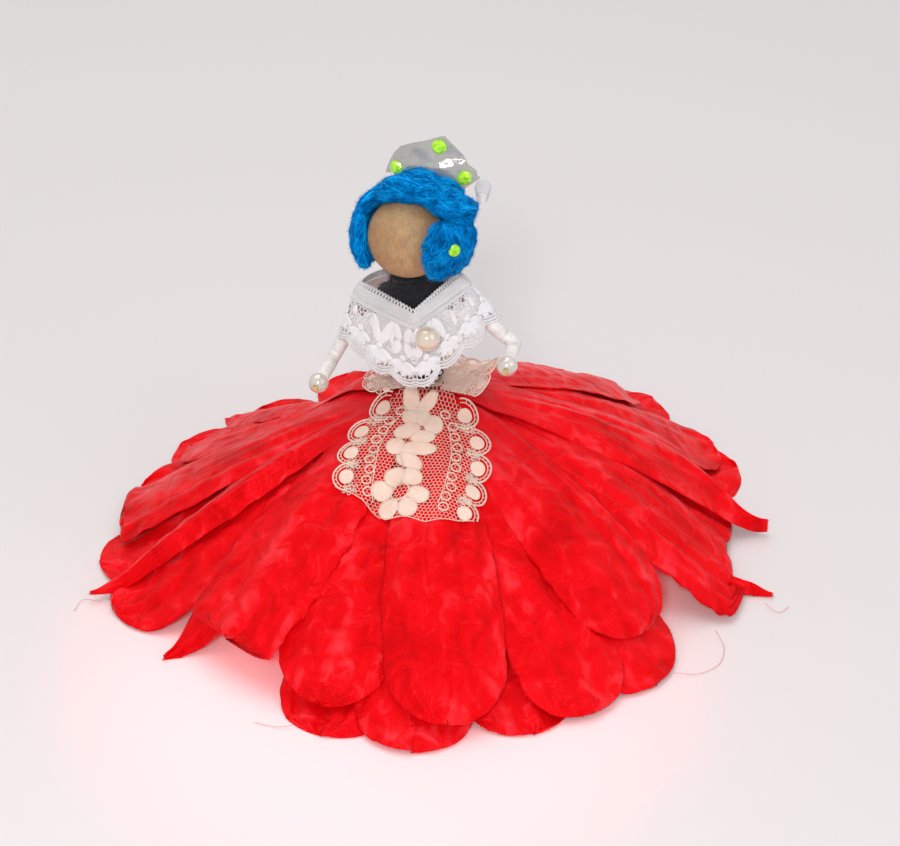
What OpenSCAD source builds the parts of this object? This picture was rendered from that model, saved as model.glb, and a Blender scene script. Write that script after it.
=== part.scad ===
// Bead-headed lady doll in a gown of fabric flower petals.
// Units are millimetres. The doll faces -Y, +Z is up, and the origin is the middle of the
// stand disc's underside, on the stem's axis. Left and right are the doll's own, so its
// left hand is at +X.

/* [Gown] */
// Height of the gown's top at the stem
waist_h = 45; // [42:0.5:47]
// Radius at which the lowest petals reach the ground
gown_r = 86; // [80:1:92]
// How the gown falls: 1 is a straight cone, 2 a round dome
fall_power = 1.45; // [1.2:0.05:1.8]
// Width of a petal near its tip
petal_w = 29; // [24:0.5:32]
// Thickness of the stiffened petal fabric
petal_t = 0.8; // [0.6:0.05:0.9]
// Distance from the top of one whorl of petals to the top of the next
whorl_pitch = 1.6; // [1.5:0.05:1.8]
// Width of the lace apron
apron_w = 39; // [34:0.5:42]
// Distance from the stem to the apron's end
apron_reach = 41; // [36:0.5:46]

/* [Figure] */
// Diameter of the wooden head bead
head_d = 20; // [18:0.5:20]
// Height of the head bead's centre before the body leans
head_z = 88; // [87.8:0.1:89.5]
// Sideways lean of the body, towards the doll's right
body_lean = 11; // [0:0.5:12]
// Sideways tilt of the head against the body, towards the doll's left
head_tilt = 13; // [0:0.5:14]
// Turn of the head towards the doll's right
head_turn = 14; // [0:1:30]
// Diameter of the floss-wrapped arms
arm_d = 3.5; // [3:0.1:3.8]
// Diameter of the hand beads
hand_d = 5; // [4.5:0.5:6]
// Droop of the left arm at the shoulder
left_droop = 0; // [-4:1:12]
// Droop of the right arm at the shoulder
right_droop = 14; // [-4:1:18]

/* [Trim] */
// Diameter of the pearl on the shawl
pearl_d = 6; // [5:0.5:6.5]
// Diameter of the crown's green stones
gem_d = 3.6; // [3:0.1:4.5]
// Thickness of the crown's clear plastic film
crown_t = 0.5; // [0.4:0.05:0.7]
// Radius that the crown's film is curved to
crown_r = 20; // [18:0.5:24]
// Diameter of the stand disc
stand_d = 36; // [30:1:44]

/* [Hidden] */
$fn = 48;

// Stem and wires
stem_r = 1;
wire_r = 0.6;
slip = 0.05;             // room round a wire in what it passes through
knuckle_r = 1.1;         // the rounded bend of a wire
bend_gap = 1.6;          // bare wire on each side of a bend
arm_r = arm_d / 2;

// Gown
stand_t = 1.6;
stem_from = 0.5;         // the stem stands in a blind hole in the disc
fall = waist_h - 3 * whorl_pitch;  // drop of each whorl over gown_r
dome_steps = 12;
hub_r = 5;
spacer_r = 2.4;
nut_r = 5.5;
// Each whorl's petals: [angle round from the front towards the doll's left, reach]
whorl_petals = [
  [[12, 79], [53, 72], [105, 84], [148, 80], [193, 70], [239, 72], [301, 84], [328, 74]],
  [[-9, 76], [36, 80], [81, 80], [124, 84], [170, 78], [213, 68], [250, 73], [278, 81]],
  [[7, 84], [52, 81], [98, 80], [143, 84], [188, 78], [230, 73], [268, 80], [304, 84]],
  [[27, 82], [79, 86], [118, 86], [162, 84], [207, 78], [252, 80], [290, 85], [318, 82], [352, 82]]
];

// Heights along the body
lean_z = 46.5;           // where the stem bends sideways
bow_z = 50.5;            // where it bends forwards
bodice_z = [52.2, 57, 63, 67.4];
bodice_r = [4, 5.4, 7, 6.2];
shoulder_line_z = 71.3;
shoulder_wrap_r = 3.6;
shoulder_half = 10;
neck_z = 76.5;           // where the neck bends
arm_wire_y = stem_r + wire_r + 0.1;
head_bore_r = 2;

// Arm joints on the doll's left side, before any droop
shoulder = [18.5, -1.5, 62.3];
shoulder_mid = [14, 0.8, 68.6];
elbow = shoulder + [5.2, -2.4, -4.2];
hand = elbow + [0.4, -12.2, 1.2];

// Shawl: half-widths at its upper and lower edges, and the heights of those edges
shawl_t = 0.7;
shawl_top = [12.5, 8.6, 7.2];       // sideways, front, back
shawl_hem = [20.4, 13.6, 12];       // sideways, front, back
shawl_skew = 2;                     // how far the neckline's point is towards the doll's left
shawl_steps = 40;
shawl_rows = 4;
pearl_at = [5.3, -13, 66.5];
pin_r = 0.3;

// Hair
hair_gap = 0.1;
roll_ring_r = 12.2;
roll_r = 3.6;
cap_r = 14;
cap_at = [0, 1.5, 0.5];
bun_r = 4.8;
bun_at = [11.8, 3, -4.2];
bun_h = 5.6;
crown_y = 4.4;

function dome(r) = waist_h - fall * pow(r / gown_r, fall_power);
function mix(a, b, t) = a + (b - a) * t;
function unit(v) = v / norm(v);

// ---- Frames: where the leaning body, the neck and the head are ----

module on_body() {
  translate([0, 0, lean_z]) rotate([0, -body_lean, 0]) translate([0, 0, -lean_z]) children();
}

module on_neck() {
  on_body() translate([0, 0, neck_z]) rotate([0, head_tilt, 0]) translate([0, 0, -neck_z]) children();
}

module on_head() {
  on_neck() rotate([0, 0, -head_turn]) translate([0, 0, head_z]) children();
}

// side is 1 for the doll's left and -1 for its right
module on_arm(side, droop) {
  on_body() mirror([side < 0 ? 1 : 0, 0, 0])
    translate(shoulder) rotate([0, droop, 0]) translate(-shoulder) children();
}

// ---- Shared shapes ----

module aim(from, towards) {
  d = towards - from;
  translate(from) rotate([0, acos(d.z / norm(d)), atan2(d.y, d.x)]) children();
}

module rod(from, towards, r) {
  aim(from, towards) cylinder(h = norm(towards - from), r = r);
}

// A rod from one joint towards another, that starts and stops short of them
module rod_between(from, towards, start, stop, r) {
  u = unit(towards - from);
  rod(from + u * start, towards - u * stop, r);
}

// A tube round a wire
module sleeve(from, towards, start, stop) {
  difference() {
    rod_between(from, towards, start, stop, arm_r);
    rod(from - unit(towards - from), towards + unit(towards - from), wire_r + slip);
  }
}

// The gown's shell between two radii: top is its distance over the first whorl's upper face
module dome_shell(r0, r1, top, t) {
  radii = [for (i = [0:dome_steps]) mix(r0, r1, i / dome_steps)];
  rotate_extrude($fn = 96)
    polygon(concat(
      [for (r = radii) [r, dome(r) + top]],
      [for (i = [dome_steps:-1:0]) [radii[i], dome(radii[i]) + top - t]]
    ));
}

module petal_outline(reach) {
  end_r = petal_w / 2;
  translate([reach - end_r, 0]) circle(r = end_r);
  polygon([[0, -hub_r / 2], [reach - end_r, -end_r], [reach - end_r, end_r], [0, hub_r / 2]]);
}

module gem(d) {
  cylinder(h = d * 0.12, d = d);
  translate([0, 0, d * 0.12]) cylinder(h = d * 0.22, d1 = d, d2 = d * 0.55);
}

// ---- Gown and stand ----

module stand_disc() {
  color("burlywood") difference() {
    cylinder(h = stand_t, d = stand_d);
    translate([0, 0, stem_from]) cylinder(h = stand_t, r = stem_r + slip);
  }
}

module lower_stem() {
  color("silver") {
    translate([0, 0, stem_from]) cylinder(h = lean_z - knuckle_r - stem_from, r = stem_r);
    translate([0, knuckle_r, lean_z]) rotate([90, 0, 0]) cylinder(h = 2 * knuckle_r, r = knuckle_r);
    translate([0, 0, lean_z - knuckle_r - 0.1]) cylinder(h = knuckle_r, r = stem_r * 0.8);
  }
}

// number 1 is the top whorl
module petal_whorl(number) {
  color("red") difference() {
    intersection() {
      dome_shell(0, gown_r, -(number - 1) * whorl_pitch, petal_t);
      linear_extrude(height = waist_h + 1)
        union() {
          circle(r = hub_r * 2);
          for (p = whorl_petals[number - 1]) rotate(p[0] - 90) petal_outline(p[1]);
        }
    }
    translate([0, 0, -1]) cylinder(h = waist_h + 3, r = stem_r + slip);
  }
}

// How far a whorl has fallen at radius r, close to the stem
function hub_fall(r) = (waist_h - dome(gown_r / dome_steps)) * r * dome_steps / gown_r;

module whorl_spacer(number) {
  top = waist_h - (number - 1) * whorl_pitch - petal_t - hub_fall(spacer_r) - 0.03;
  bottom = waist_h - number * whorl_pitch - hub_fall(stem_r + slip) + 0.03;
  color("white") difference() {
    translate([0, 0, bottom]) cylinder(h = top - bottom, r = spacer_r);
    translate([0, 0, bottom - 1]) cylinder(h = 3, r = stem_r + slip);
  }
}

module whorl_nut() {
  top = waist_h - 3 * whorl_pitch - petal_t - hub_fall(nut_r) - 0.05;
  color("green") difference() {
    union() {
      translate([0, 0, top - 1.2]) cylinder(h = 1.2, r = nut_r);
      translate([0, 0, top - 6.2]) cylinder(h = 5, r1 = 2, r2 = 3.2);
    }
    translate([0, 0, top - 8]) cylinder(h = 9, r = stem_r + slip);
  }
}

// Flares up behind and beside the waist, and is open at the front
module waist_lace() {
  lace_t = 0.6;
  color("wheat") difference() {
    rotate_extrude() polygon([[3.2, 45.6], [8, 45.9], [13, 47.4], [17.5, 50],
                              [17.5, 50 + lace_t], [13, 47.4 + lace_t], [8, 45.9 + lace_t],
                              [3.2, 45.6 + lace_t]]);
    translate([-11, -20, 40]) cube([22, 17, 20]);
  }
}

module lace_apron() {
  apron_t = 0.5;
  color("wheat") intersection() {
    dome_shell(3, apron_reach, 0.75, apron_t);
    linear_extrude(height = waist_h + 2) union() {
      translate([-apron_w / 2 + 6, -apron_reach]) square([apron_w - 12, apron_reach - 4]);
      translate([-apron_w / 2, -apron_reach + 8]) square([apron_w, 20]);
      translate([-apron_w / 2 + 8, -apron_reach + 8]) circle(r = 8);
      translate([apron_w / 2 - 8, -apron_reach + 8]) circle(r = 8);
    }
  }
}

// Thread wound over the gathered ends of the lace
module waist_thread() {
  color("wheat") difference() {
    translate([0, 0, 46.5]) cylinder(h = 0.6, r = 3.1);
    translate([0, 0, 40]) cylinder(h = 12, r = 2);
  }
}

// ---- Waist and body ----

module waist_link() {
  color("silver") on_body() {
    translate([0, 0, lean_z + knuckle_r + 0.3]) cylinder(h = bow_z - lean_z - knuckle_r - 0.3, r = stem_r);
    translate([-knuckle_r, 0, bow_z]) rotate([0, 90, 0]) cylinder(h = 2 * knuckle_r, r = knuckle_r);
  }
}

module waist_wrap() {
  color("black") on_body() difference() {
    translate([0, 0, 48.3]) cylinder(h = 1, r = 3);
    translate([0, 0, 47]) cylinder(h = 4, r = stem_r + slip);
  }
}

module upper_stem() {
  color("silver") on_body() translate([0, 0, bow_z + knuckle_r + 0.4])
    cylinder(h = neck_z - bow_z - 2 * knuckle_r - 0.8, r = stem_r);
}

module bodice_wrap() {
  color("black") on_body() difference() {
    rotate_extrude() polygon(concat(
      [[0, bodice_z[0]]],
      [for (i = [0:3]) [bodice_r[i], bodice_z[i]]],
      [[0, bodice_z[3]]]
    ));
    translate([0, 0, 50]) cylinder(h = 20, r = stem_r + slip);
  }
}

module shoulder_wrap() {
  reach = shoulder_half - shoulder_wrap_r;
  color("black") on_body() difference() {
    union() {
      translate([-reach, 0, shoulder_line_z]) rotate([0, 90, 0]) cylinder(h = 2 * reach, r = shoulder_wrap_r);
      for (x = [-reach, reach]) translate([x, 0, shoulder_line_z]) sphere(r = shoulder_wrap_r);
    }
    translate([0, 0, 60]) cylinder(h = 20, r = stem_r + slip);
    translate([-15, arm_wire_y, shoulder_line_z]) rotate([0, 90, 0]) cylinder(h = 30, r = wire_r + slip);
  }
}

// The wire's way out of the shoulder wrap to where the arm bends
function shoulder_path() = [
  [0, arm_wire_y, shoulder_line_z],
  [shoulder_half, arm_wire_y, shoulder_line_z],
  shoulder_mid,
  shoulder - unit(shoulder - shoulder_mid) * bend_gap
];

module arm_wire() {
  path = shoulder_path();
  color("gold") on_body() {
    translate([-shoulder_half - 0.2, arm_wire_y, shoulder_line_z]) rotate([0, 90, 0])
      cylinder(h = 2 * shoulder_half + 0.4, r = wire_r);
    for (side = [0, 1]) mirror([side, 0, 0]) {
      rod_between(path[1], path[2], -0.2, -0.2, wire_r);
      rod(path[2], path[3], wire_r);
    }
  }
}

module shoulder_sleeve(side) {
  path = shoulder_path();
  color("white") on_body() mirror([side < 0 ? 1 : 0, 0, 0]) difference() {
    union() {
      rod_between(path[1], path[2], 1.5, -0.5, arm_r);
      rod_between(path[2], path[3], -0.5, 0.5, arm_r);
    }
    rod_between(path[1], path[2], -1, -0.3, wire_r + slip);
    rod_between(path[2], path[3], -0.3, -1, wire_r + slip);
  }
}

// Height of the shawl's upper and lower edge at angle a, which is 0 at the front
// Both edges run down to a point there
function in_front(a, power) = cos(a) > 0 ? 1 - pow(abs(sin(a)), power) : 0;
function shawl_top_z(a) = 75.4 - 4.2 * in_front(a, 1);
function shawl_hem_z(a) = 64.8 - 2.5 * (1 - cos(a)) / 2 - 12 * in_front(a, 1.15);
// Seen from above, the upper edge is straight on each side of the neckline's point and the hem is rounder
function shawl_upper(a) = [shawl_top.x * sin(a) + shawl_skew * in_front(a, 1),
                           cos(a) > 0 ? -shawl_top.y * in_front(a, 1) : -shawl_top.z * cos(a)];
function shawl_lower(a) = [shawl_hem.x * sin(a),
                           cos(a) > 0 ? -shawl_hem.y * sqrt(in_front(a, 1.4)) : -shawl_hem.z * cos(a)];
// A point of the shawl: t runs from its upper edge to its hem, in_by is how far inside its outer face
function shawl_point(a, t, in_by) =
  let (p = mix(shawl_upper(a), shawl_lower(a), pow(t, 0.8)), inner = p * (1 - in_by / norm(p)))
  [inner.x, inner.y, mix(shawl_top_z(a), shawl_hem_z(a), t)];

module lace_shawl() {
  n = shawl_steps;
  m = shawl_rows;
  outer = [for (j = [0:m]) for (i = [0:n - 1]) shawl_point(360 * i / n, j / m, 0)];
  inner = [for (j = [0:m]) for (i = [0:n - 1]) shawl_point(360 * i / n, j / m, shawl_t)];
  half = n * (m + 1);
  function at(i, j) = j * n + i % n;
  color("white") on_body() polyhedron(
    points = concat(outer, inner),
    faces = concat(
      [for (j = [0:m - 1]) for (i = [0:n - 1]) each [
        [at(i, j), at(i + 1, j), at(i, j + 1)],
        [at(i + 1, j), at(i + 1, j + 1), at(i, j + 1)],
        [half + at(i, j), half + at(i, j + 1), half + at(i + 1, j)],
        [half + at(i + 1, j), half + at(i, j + 1), half + at(i + 1, j + 1)]]],
      [for (i = [0:n - 1]) each [
        [at(i, 0), half + at(i, 0), half + at(i + 1, 0)],
        [at(i, 0), half + at(i + 1, 0), at(i + 1, 0)],
        [at(i, m), half + at(i + 1, m), half + at(i, m)],
        [at(i, m), at(i + 1, m), half + at(i + 1, m)]]]
    )
  );
}

module on_pin() {
  on_body() translate(pearl_at) rotate([90, 0, 0]) children();
}

module shawl_pearl() {
  color("linen") on_pin() difference() {
    sphere(d = pearl_d);
    translate([0, 0, -pearl_d]) cylinder(h = pearl_d + 1, r = pin_r + slip);
  }
}

// Holds the pearl on, through the lace and into the bodice
module pearl_pin() {
  color("silver") on_pin() translate([0, 0, -9]) cylinder(h = 9.9, r = pin_r);
}

// ---- Neck and head ----

module neck_wire() {
  color("silver") on_neck() {
    translate([-knuckle_r, 0, neck_z]) rotate([0, 90, 0]) cylinder(h = 2 * knuckle_r, r = knuckle_r);
    translate([0, 0, neck_z]) cylinder(h = head_z + head_d / 2 - 1.5 - neck_z, r = stem_r);
    translate([0, 0, head_z - head_d / 2 + 0.6])
      cylinder(h = head_d - 4, r = head_bore_r - slip);
  }
}

module neck_collar() {
  color("black") on_neck() difference() {
    translate([0, 0, neck_z + 0.2]) cylinder(h = head_z - head_d / 2 - neck_z - 0.4, r = 3.2);
    translate([0, 0, neck_z - 1]) cylinder(h = 6, r = knuckle_r + 0.5);
  }
}

module head_bead() {
  color("burlywood") on_head() difference() {
    sphere(d = head_d, $fn = 96);
    translate([0, 0, -head_d]) cylinder(h = 2 * head_d, r = head_bore_r);
  }
}

module bead_space() {
  sphere(d = head_d + 2 * hair_gap);
}

// Everything that the roll of hair over the top of the head takes up
module roll_space(extra) {
  rotate([90, 0, 0]) rotate_extrude() translate([roll_ring_r, 0]) circle(r = roll_r + extra);
}

module hair_roll() {
  color("deepskyblue") on_head() difference() {
    roll_space(0);
    bead_space();
    translate([-20, -20, -40]) cube([40, 40, 43]);
  }
}

module hair_cap() {
  color("deepskyblue") on_head() difference() {
    translate(cap_at) sphere(r = cap_r);
    bead_space();
    roll_space(hair_gap);
    translate([-20, -20, -20]) cube([40, 20 + 0.5, 40]);
    translate([-20, -20, -40]) cube([40, 40, 30.8]);
    for (x = [-1, 1]) bun_space(x, hair_gap);
  }
}

module bun_space(side, extra) {
  translate([side * bun_at.x, bun_at.y, bun_at.z]) {
    cylinder(h = bun_h, r = bun_r + extra);
    sphere(r = bun_r + extra);
    translate([0, 0, bun_h]) sphere(r = bun_r + extra);
  }
}

module hair_bun(side) {
  color("deepskyblue") on_head() difference() {
    bun_space(side, 0);
    bead_space();
    roll_space(hair_gap);
  }
}

// The crown's outline, seen from the front: a lopsided peak between two lower corners
module crown_outline() {
  polygon([[-9.5, 8], [-9.1, 13.6], [-7.3, 17.7], [-5.5, 20.2], [4.2, 25.1], [5.7, 25.6],
           [12.9, 16.8], [13.6, 13], [12, 8]]);
}

module crown_band() {
  color("lightgray") on_head() difference() {
    intersection() {
      translate([1, crown_y + crown_r, 0]) difference() {
        cylinder(h = 40, r = crown_r, $fn = 128);
        translate([0, 0, -1]) cylinder(h = 42, r = crown_r - crown_t, $fn = 128);
      }
      translate([0, crown_r, 0]) rotate([90, 0, 0]) linear_extrude(height = crown_r) crown_outline();
    }
    translate(cap_at) sphere(r = cap_r + hair_gap);
    roll_space(hair_gap);
  }
}

// A stone on the front of the crown: x along it, z up it
module crown_gem(x, z) {
  a = asin((x - 1) / crown_r);
  color("yellowgreen") on_head() translate([1, crown_y + crown_r, z])
    rotate([90, 0, a]) translate([0, 0, crown_r + slip]) gem(gem_d);
}

module bun_gem(side) {
  color("yellowgreen") on_head()
    translate([side * bun_at.x, bun_at.y, bun_at.z + 3.6]) rotate([90, 0, side * 38])
      translate([0, 0, bun_r + slip]) gem(gem_d * 0.75);
}

// ---- Arms ----

module upper_wire(side, droop) {
  color("gold") on_arm(side, droop) {
    translate(shoulder + [0, knuckle_r, 0]) rotate([90, 0, 0]) cylinder(h = 2 * knuckle_r, r = knuckle_r);
    rod_between(shoulder, elbow, 0, knuckle_r + 0.7, wire_r);
  }
}

module upper_sleeve(side, droop) {
  color("white") on_arm(side, droop) sleeve(shoulder, elbow, bend_gap, bend_gap);
}

module forearm_wire(side, droop) {
  tip = hand + unit(hand - elbow) * (hand_d / 2 + 0.5);
  color("gold") on_arm(side, droop) {
    translate(elbow - [knuckle_r, 0, 0]) rotate([0, 90, 0]) cylinder(h = 2 * knuckle_r, r = knuckle_r);
    rod(elbow, tip, wire_r);
  }
}

module forearm_sleeve(side, droop) {
  color("white") on_arm(side, droop) sleeve(elbow, hand, bend_gap + 0.15, hand_d / 2 + 0.1);
}

module hand_bead(side, droop) {
  color("linen") on_arm(side, droop) difference() {
    translate(hand) sphere(d = hand_d);
    rod(elbow, hand + (hand - elbow), wire_r + slip);
  }
}

stand_disc();
lower_stem();
whorl_nut();
petal_whorl(1);  // petal_whorl_1
petal_whorl(2);  // petal_whorl_2
petal_whorl(3);  // petal_whorl_3
petal_whorl(4);  // petal_whorl_4
whorl_spacer(1);  // whorl_spacer_1
whorl_spacer(2);  // whorl_spacer_2
whorl_spacer(3);  // whorl_spacer_3
waist_lace();
lace_apron();
waist_thread();
waist_link();
waist_wrap();
upper_stem();
bodice_wrap();
shoulder_wrap();
arm_wire();
shoulder_sleeve(1);  // left_shoulder_sleeve
shoulder_sleeve(-1);  // right_shoulder_sleeve
lace_shawl();
shawl_pearl();
pearl_pin();
neck_wire();
neck_collar();
head_bead();
hair_cap();
hair_roll();
hair_bun(1);  // left_hair_bun
hair_bun(-1);  // right_hair_bun
crown_band();
crown_gem(10.9, 15.5);  // crown_gem_left
crown_gem(4.7, 22.9);  // crown_gem_top
crown_gem(-5.6, 15.1);  // crown_gem_right
bun_gem(1);  // left_bun_gem
bun_gem(-1);  // right_bun_gem
upper_wire(1, left_droop);  // left_upper_wire
upper_sleeve(1, left_droop);  // left_upper_sleeve
upper_wire(-1, right_droop);  // right_upper_wire
upper_sleeve(-1, right_droop);  // right_upper_sleeve
forearm_wire(1, left_droop);  // left_forearm_wire
forearm_sleeve(1, left_droop);  // left_forearm_sleeve
hand_bead(1, left_droop);  // left_hand_bead
forearm_wire(-1, right_droop);  // right_forearm_wire
forearm_sleeve(-1, right_droop);  // right_forearm_sleeve
hand_bead(-1, right_droop);  // right_hand_bead
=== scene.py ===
import math

import bpy
import numpy as np
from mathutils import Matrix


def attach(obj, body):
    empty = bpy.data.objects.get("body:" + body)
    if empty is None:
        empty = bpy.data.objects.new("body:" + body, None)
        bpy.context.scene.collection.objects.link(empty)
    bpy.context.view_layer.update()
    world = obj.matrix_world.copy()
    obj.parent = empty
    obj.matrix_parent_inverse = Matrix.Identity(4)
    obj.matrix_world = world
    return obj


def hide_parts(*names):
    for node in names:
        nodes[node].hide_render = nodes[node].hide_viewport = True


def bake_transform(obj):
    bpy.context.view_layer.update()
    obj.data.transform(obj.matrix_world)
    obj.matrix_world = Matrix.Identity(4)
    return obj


# Lengths in this script are millimetres until a mesh is made. The doll faces -Y, +Z is up.
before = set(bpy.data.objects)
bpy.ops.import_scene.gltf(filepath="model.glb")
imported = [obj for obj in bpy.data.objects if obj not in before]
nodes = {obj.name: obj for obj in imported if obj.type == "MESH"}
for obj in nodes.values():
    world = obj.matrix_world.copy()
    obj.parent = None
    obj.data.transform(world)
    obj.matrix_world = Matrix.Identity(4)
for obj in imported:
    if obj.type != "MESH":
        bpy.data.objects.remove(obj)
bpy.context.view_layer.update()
MM = 0.001
rng = np.random.default_rng(11)


# ---- Where the leaning body, the neck, the head and the arms are ----

def rot(axis, deg):
    c, s = math.cos(math.radians(deg)), math.sin(math.radians(deg))
    return np.array({
        "x": [[1, 0, 0], [0, c, -s], [0, s, c]],
        "y": [[c, 0, s], [0, 1, 0], [-s, 0, c]],
        "z": [[c, -s, 0], [s, c, 0], [0, 0, 1]],
    }[axis])


LEAN_Z, NECK_Z, HEAD_Z = 46.5, 76.5, 88.0
LEAN, TILT, TURN = 11, 13, 14
SHOULDER = np.array([18.5, -1.5, 62.3])
SHOULDER_MID = np.array([14, 0.8, 68.6])
ELBOW = SHOULDER + [5.2, -2.4, -4.2]
HAND = ELBOW + [0.4, -12.2, 1.2]
DROOP = {1: 0, -1: 14}


def turned(p, r, pivot):
    pivot = np.asarray(pivot, float)
    return (np.asarray(p, float) - pivot) @ r.T + pivot


def on_body(p):
    return turned(p, rot("y", -LEAN), (0, 0, LEAN_Z))


def on_neck(p):
    return on_body(turned(p, rot("y", TILT), (0, 0, NECK_Z)))


def on_head(p):
    return on_neck(turned(p, rot("z", -TURN), (0, 0, 0)) + [0, 0, HEAD_Z])


def on_arm(p, side):
    return on_body(turned(p, rot("y", DROOP[side]), SHOULDER) * [side, 1, 1])


def smooth(t):
    t = np.clip(t, 0, 1)
    return t * t * (3 - 2 * t)


def unit(v):
    return v / np.maximum(np.linalg.norm(v, axis=-1, keepdims=True), 1e-12)


def curve_through(points, n):
    """n points of a smooth curve through the given ones."""
    p = np.asarray(points, float)
    p = np.vstack([2 * p[0] - p[1], p, 2 * p[-1] - p[-2]])
    t = np.linspace(0, len(points) - 1, n)
    i = np.minimum(t.astype(int), len(points) - 2)
    f = (t - i)[:, None]
    a, b, c, d = p[i], p[i + 1], p[i + 2], p[i + 3]
    return 0.5 * (2 * b + (c - a) * f + (2 * a - 5 * b + 4 * c - d) * f ** 2 + (3 * b - a - 3 * c + d) * f ** 3)


def circle(n):
    """n angles all the way round."""
    return np.linspace(0, 2 * math.pi, n + 1)[:-1]


def about(angle, a, b):
    """The direction at each angle in the plane of a and b."""
    return np.cos(angle)[..., None] * a + np.sin(angle)[..., None] * b


def spun(x, y, deg):
    c, s = math.cos(math.radians(deg)), math.sin(math.radians(deg))
    return x * c - y * s, x * s + y * c


def along_line(points):
    """Distance along a line of points, from its first one to each."""
    return np.concatenate([[0], np.cumsum(np.linalg.norm(np.diff(points, axis=0), axis=1))])


def across(t):
    """Two directions at right angles to each of t."""
    s = unit(np.cross(t, np.where(np.abs(t[:, 2:3]) < 0.9, [[0, 0, 1.0]], [[1.0, 0, 0]])))
    return s, np.cross(t, s)


def carried(t, a):
    """Two directions at right angles to each of t: a, carried along without a twist, and the other."""
    side = np.empty(t.shape)
    for i, d in enumerate(t):
        a = a - d * (a @ d)
        a = a / max(math.sqrt(a @ a), 1e-12)
        side[i] = a
    return side, np.cross(t, side)


# ---- Meshes ----

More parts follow.
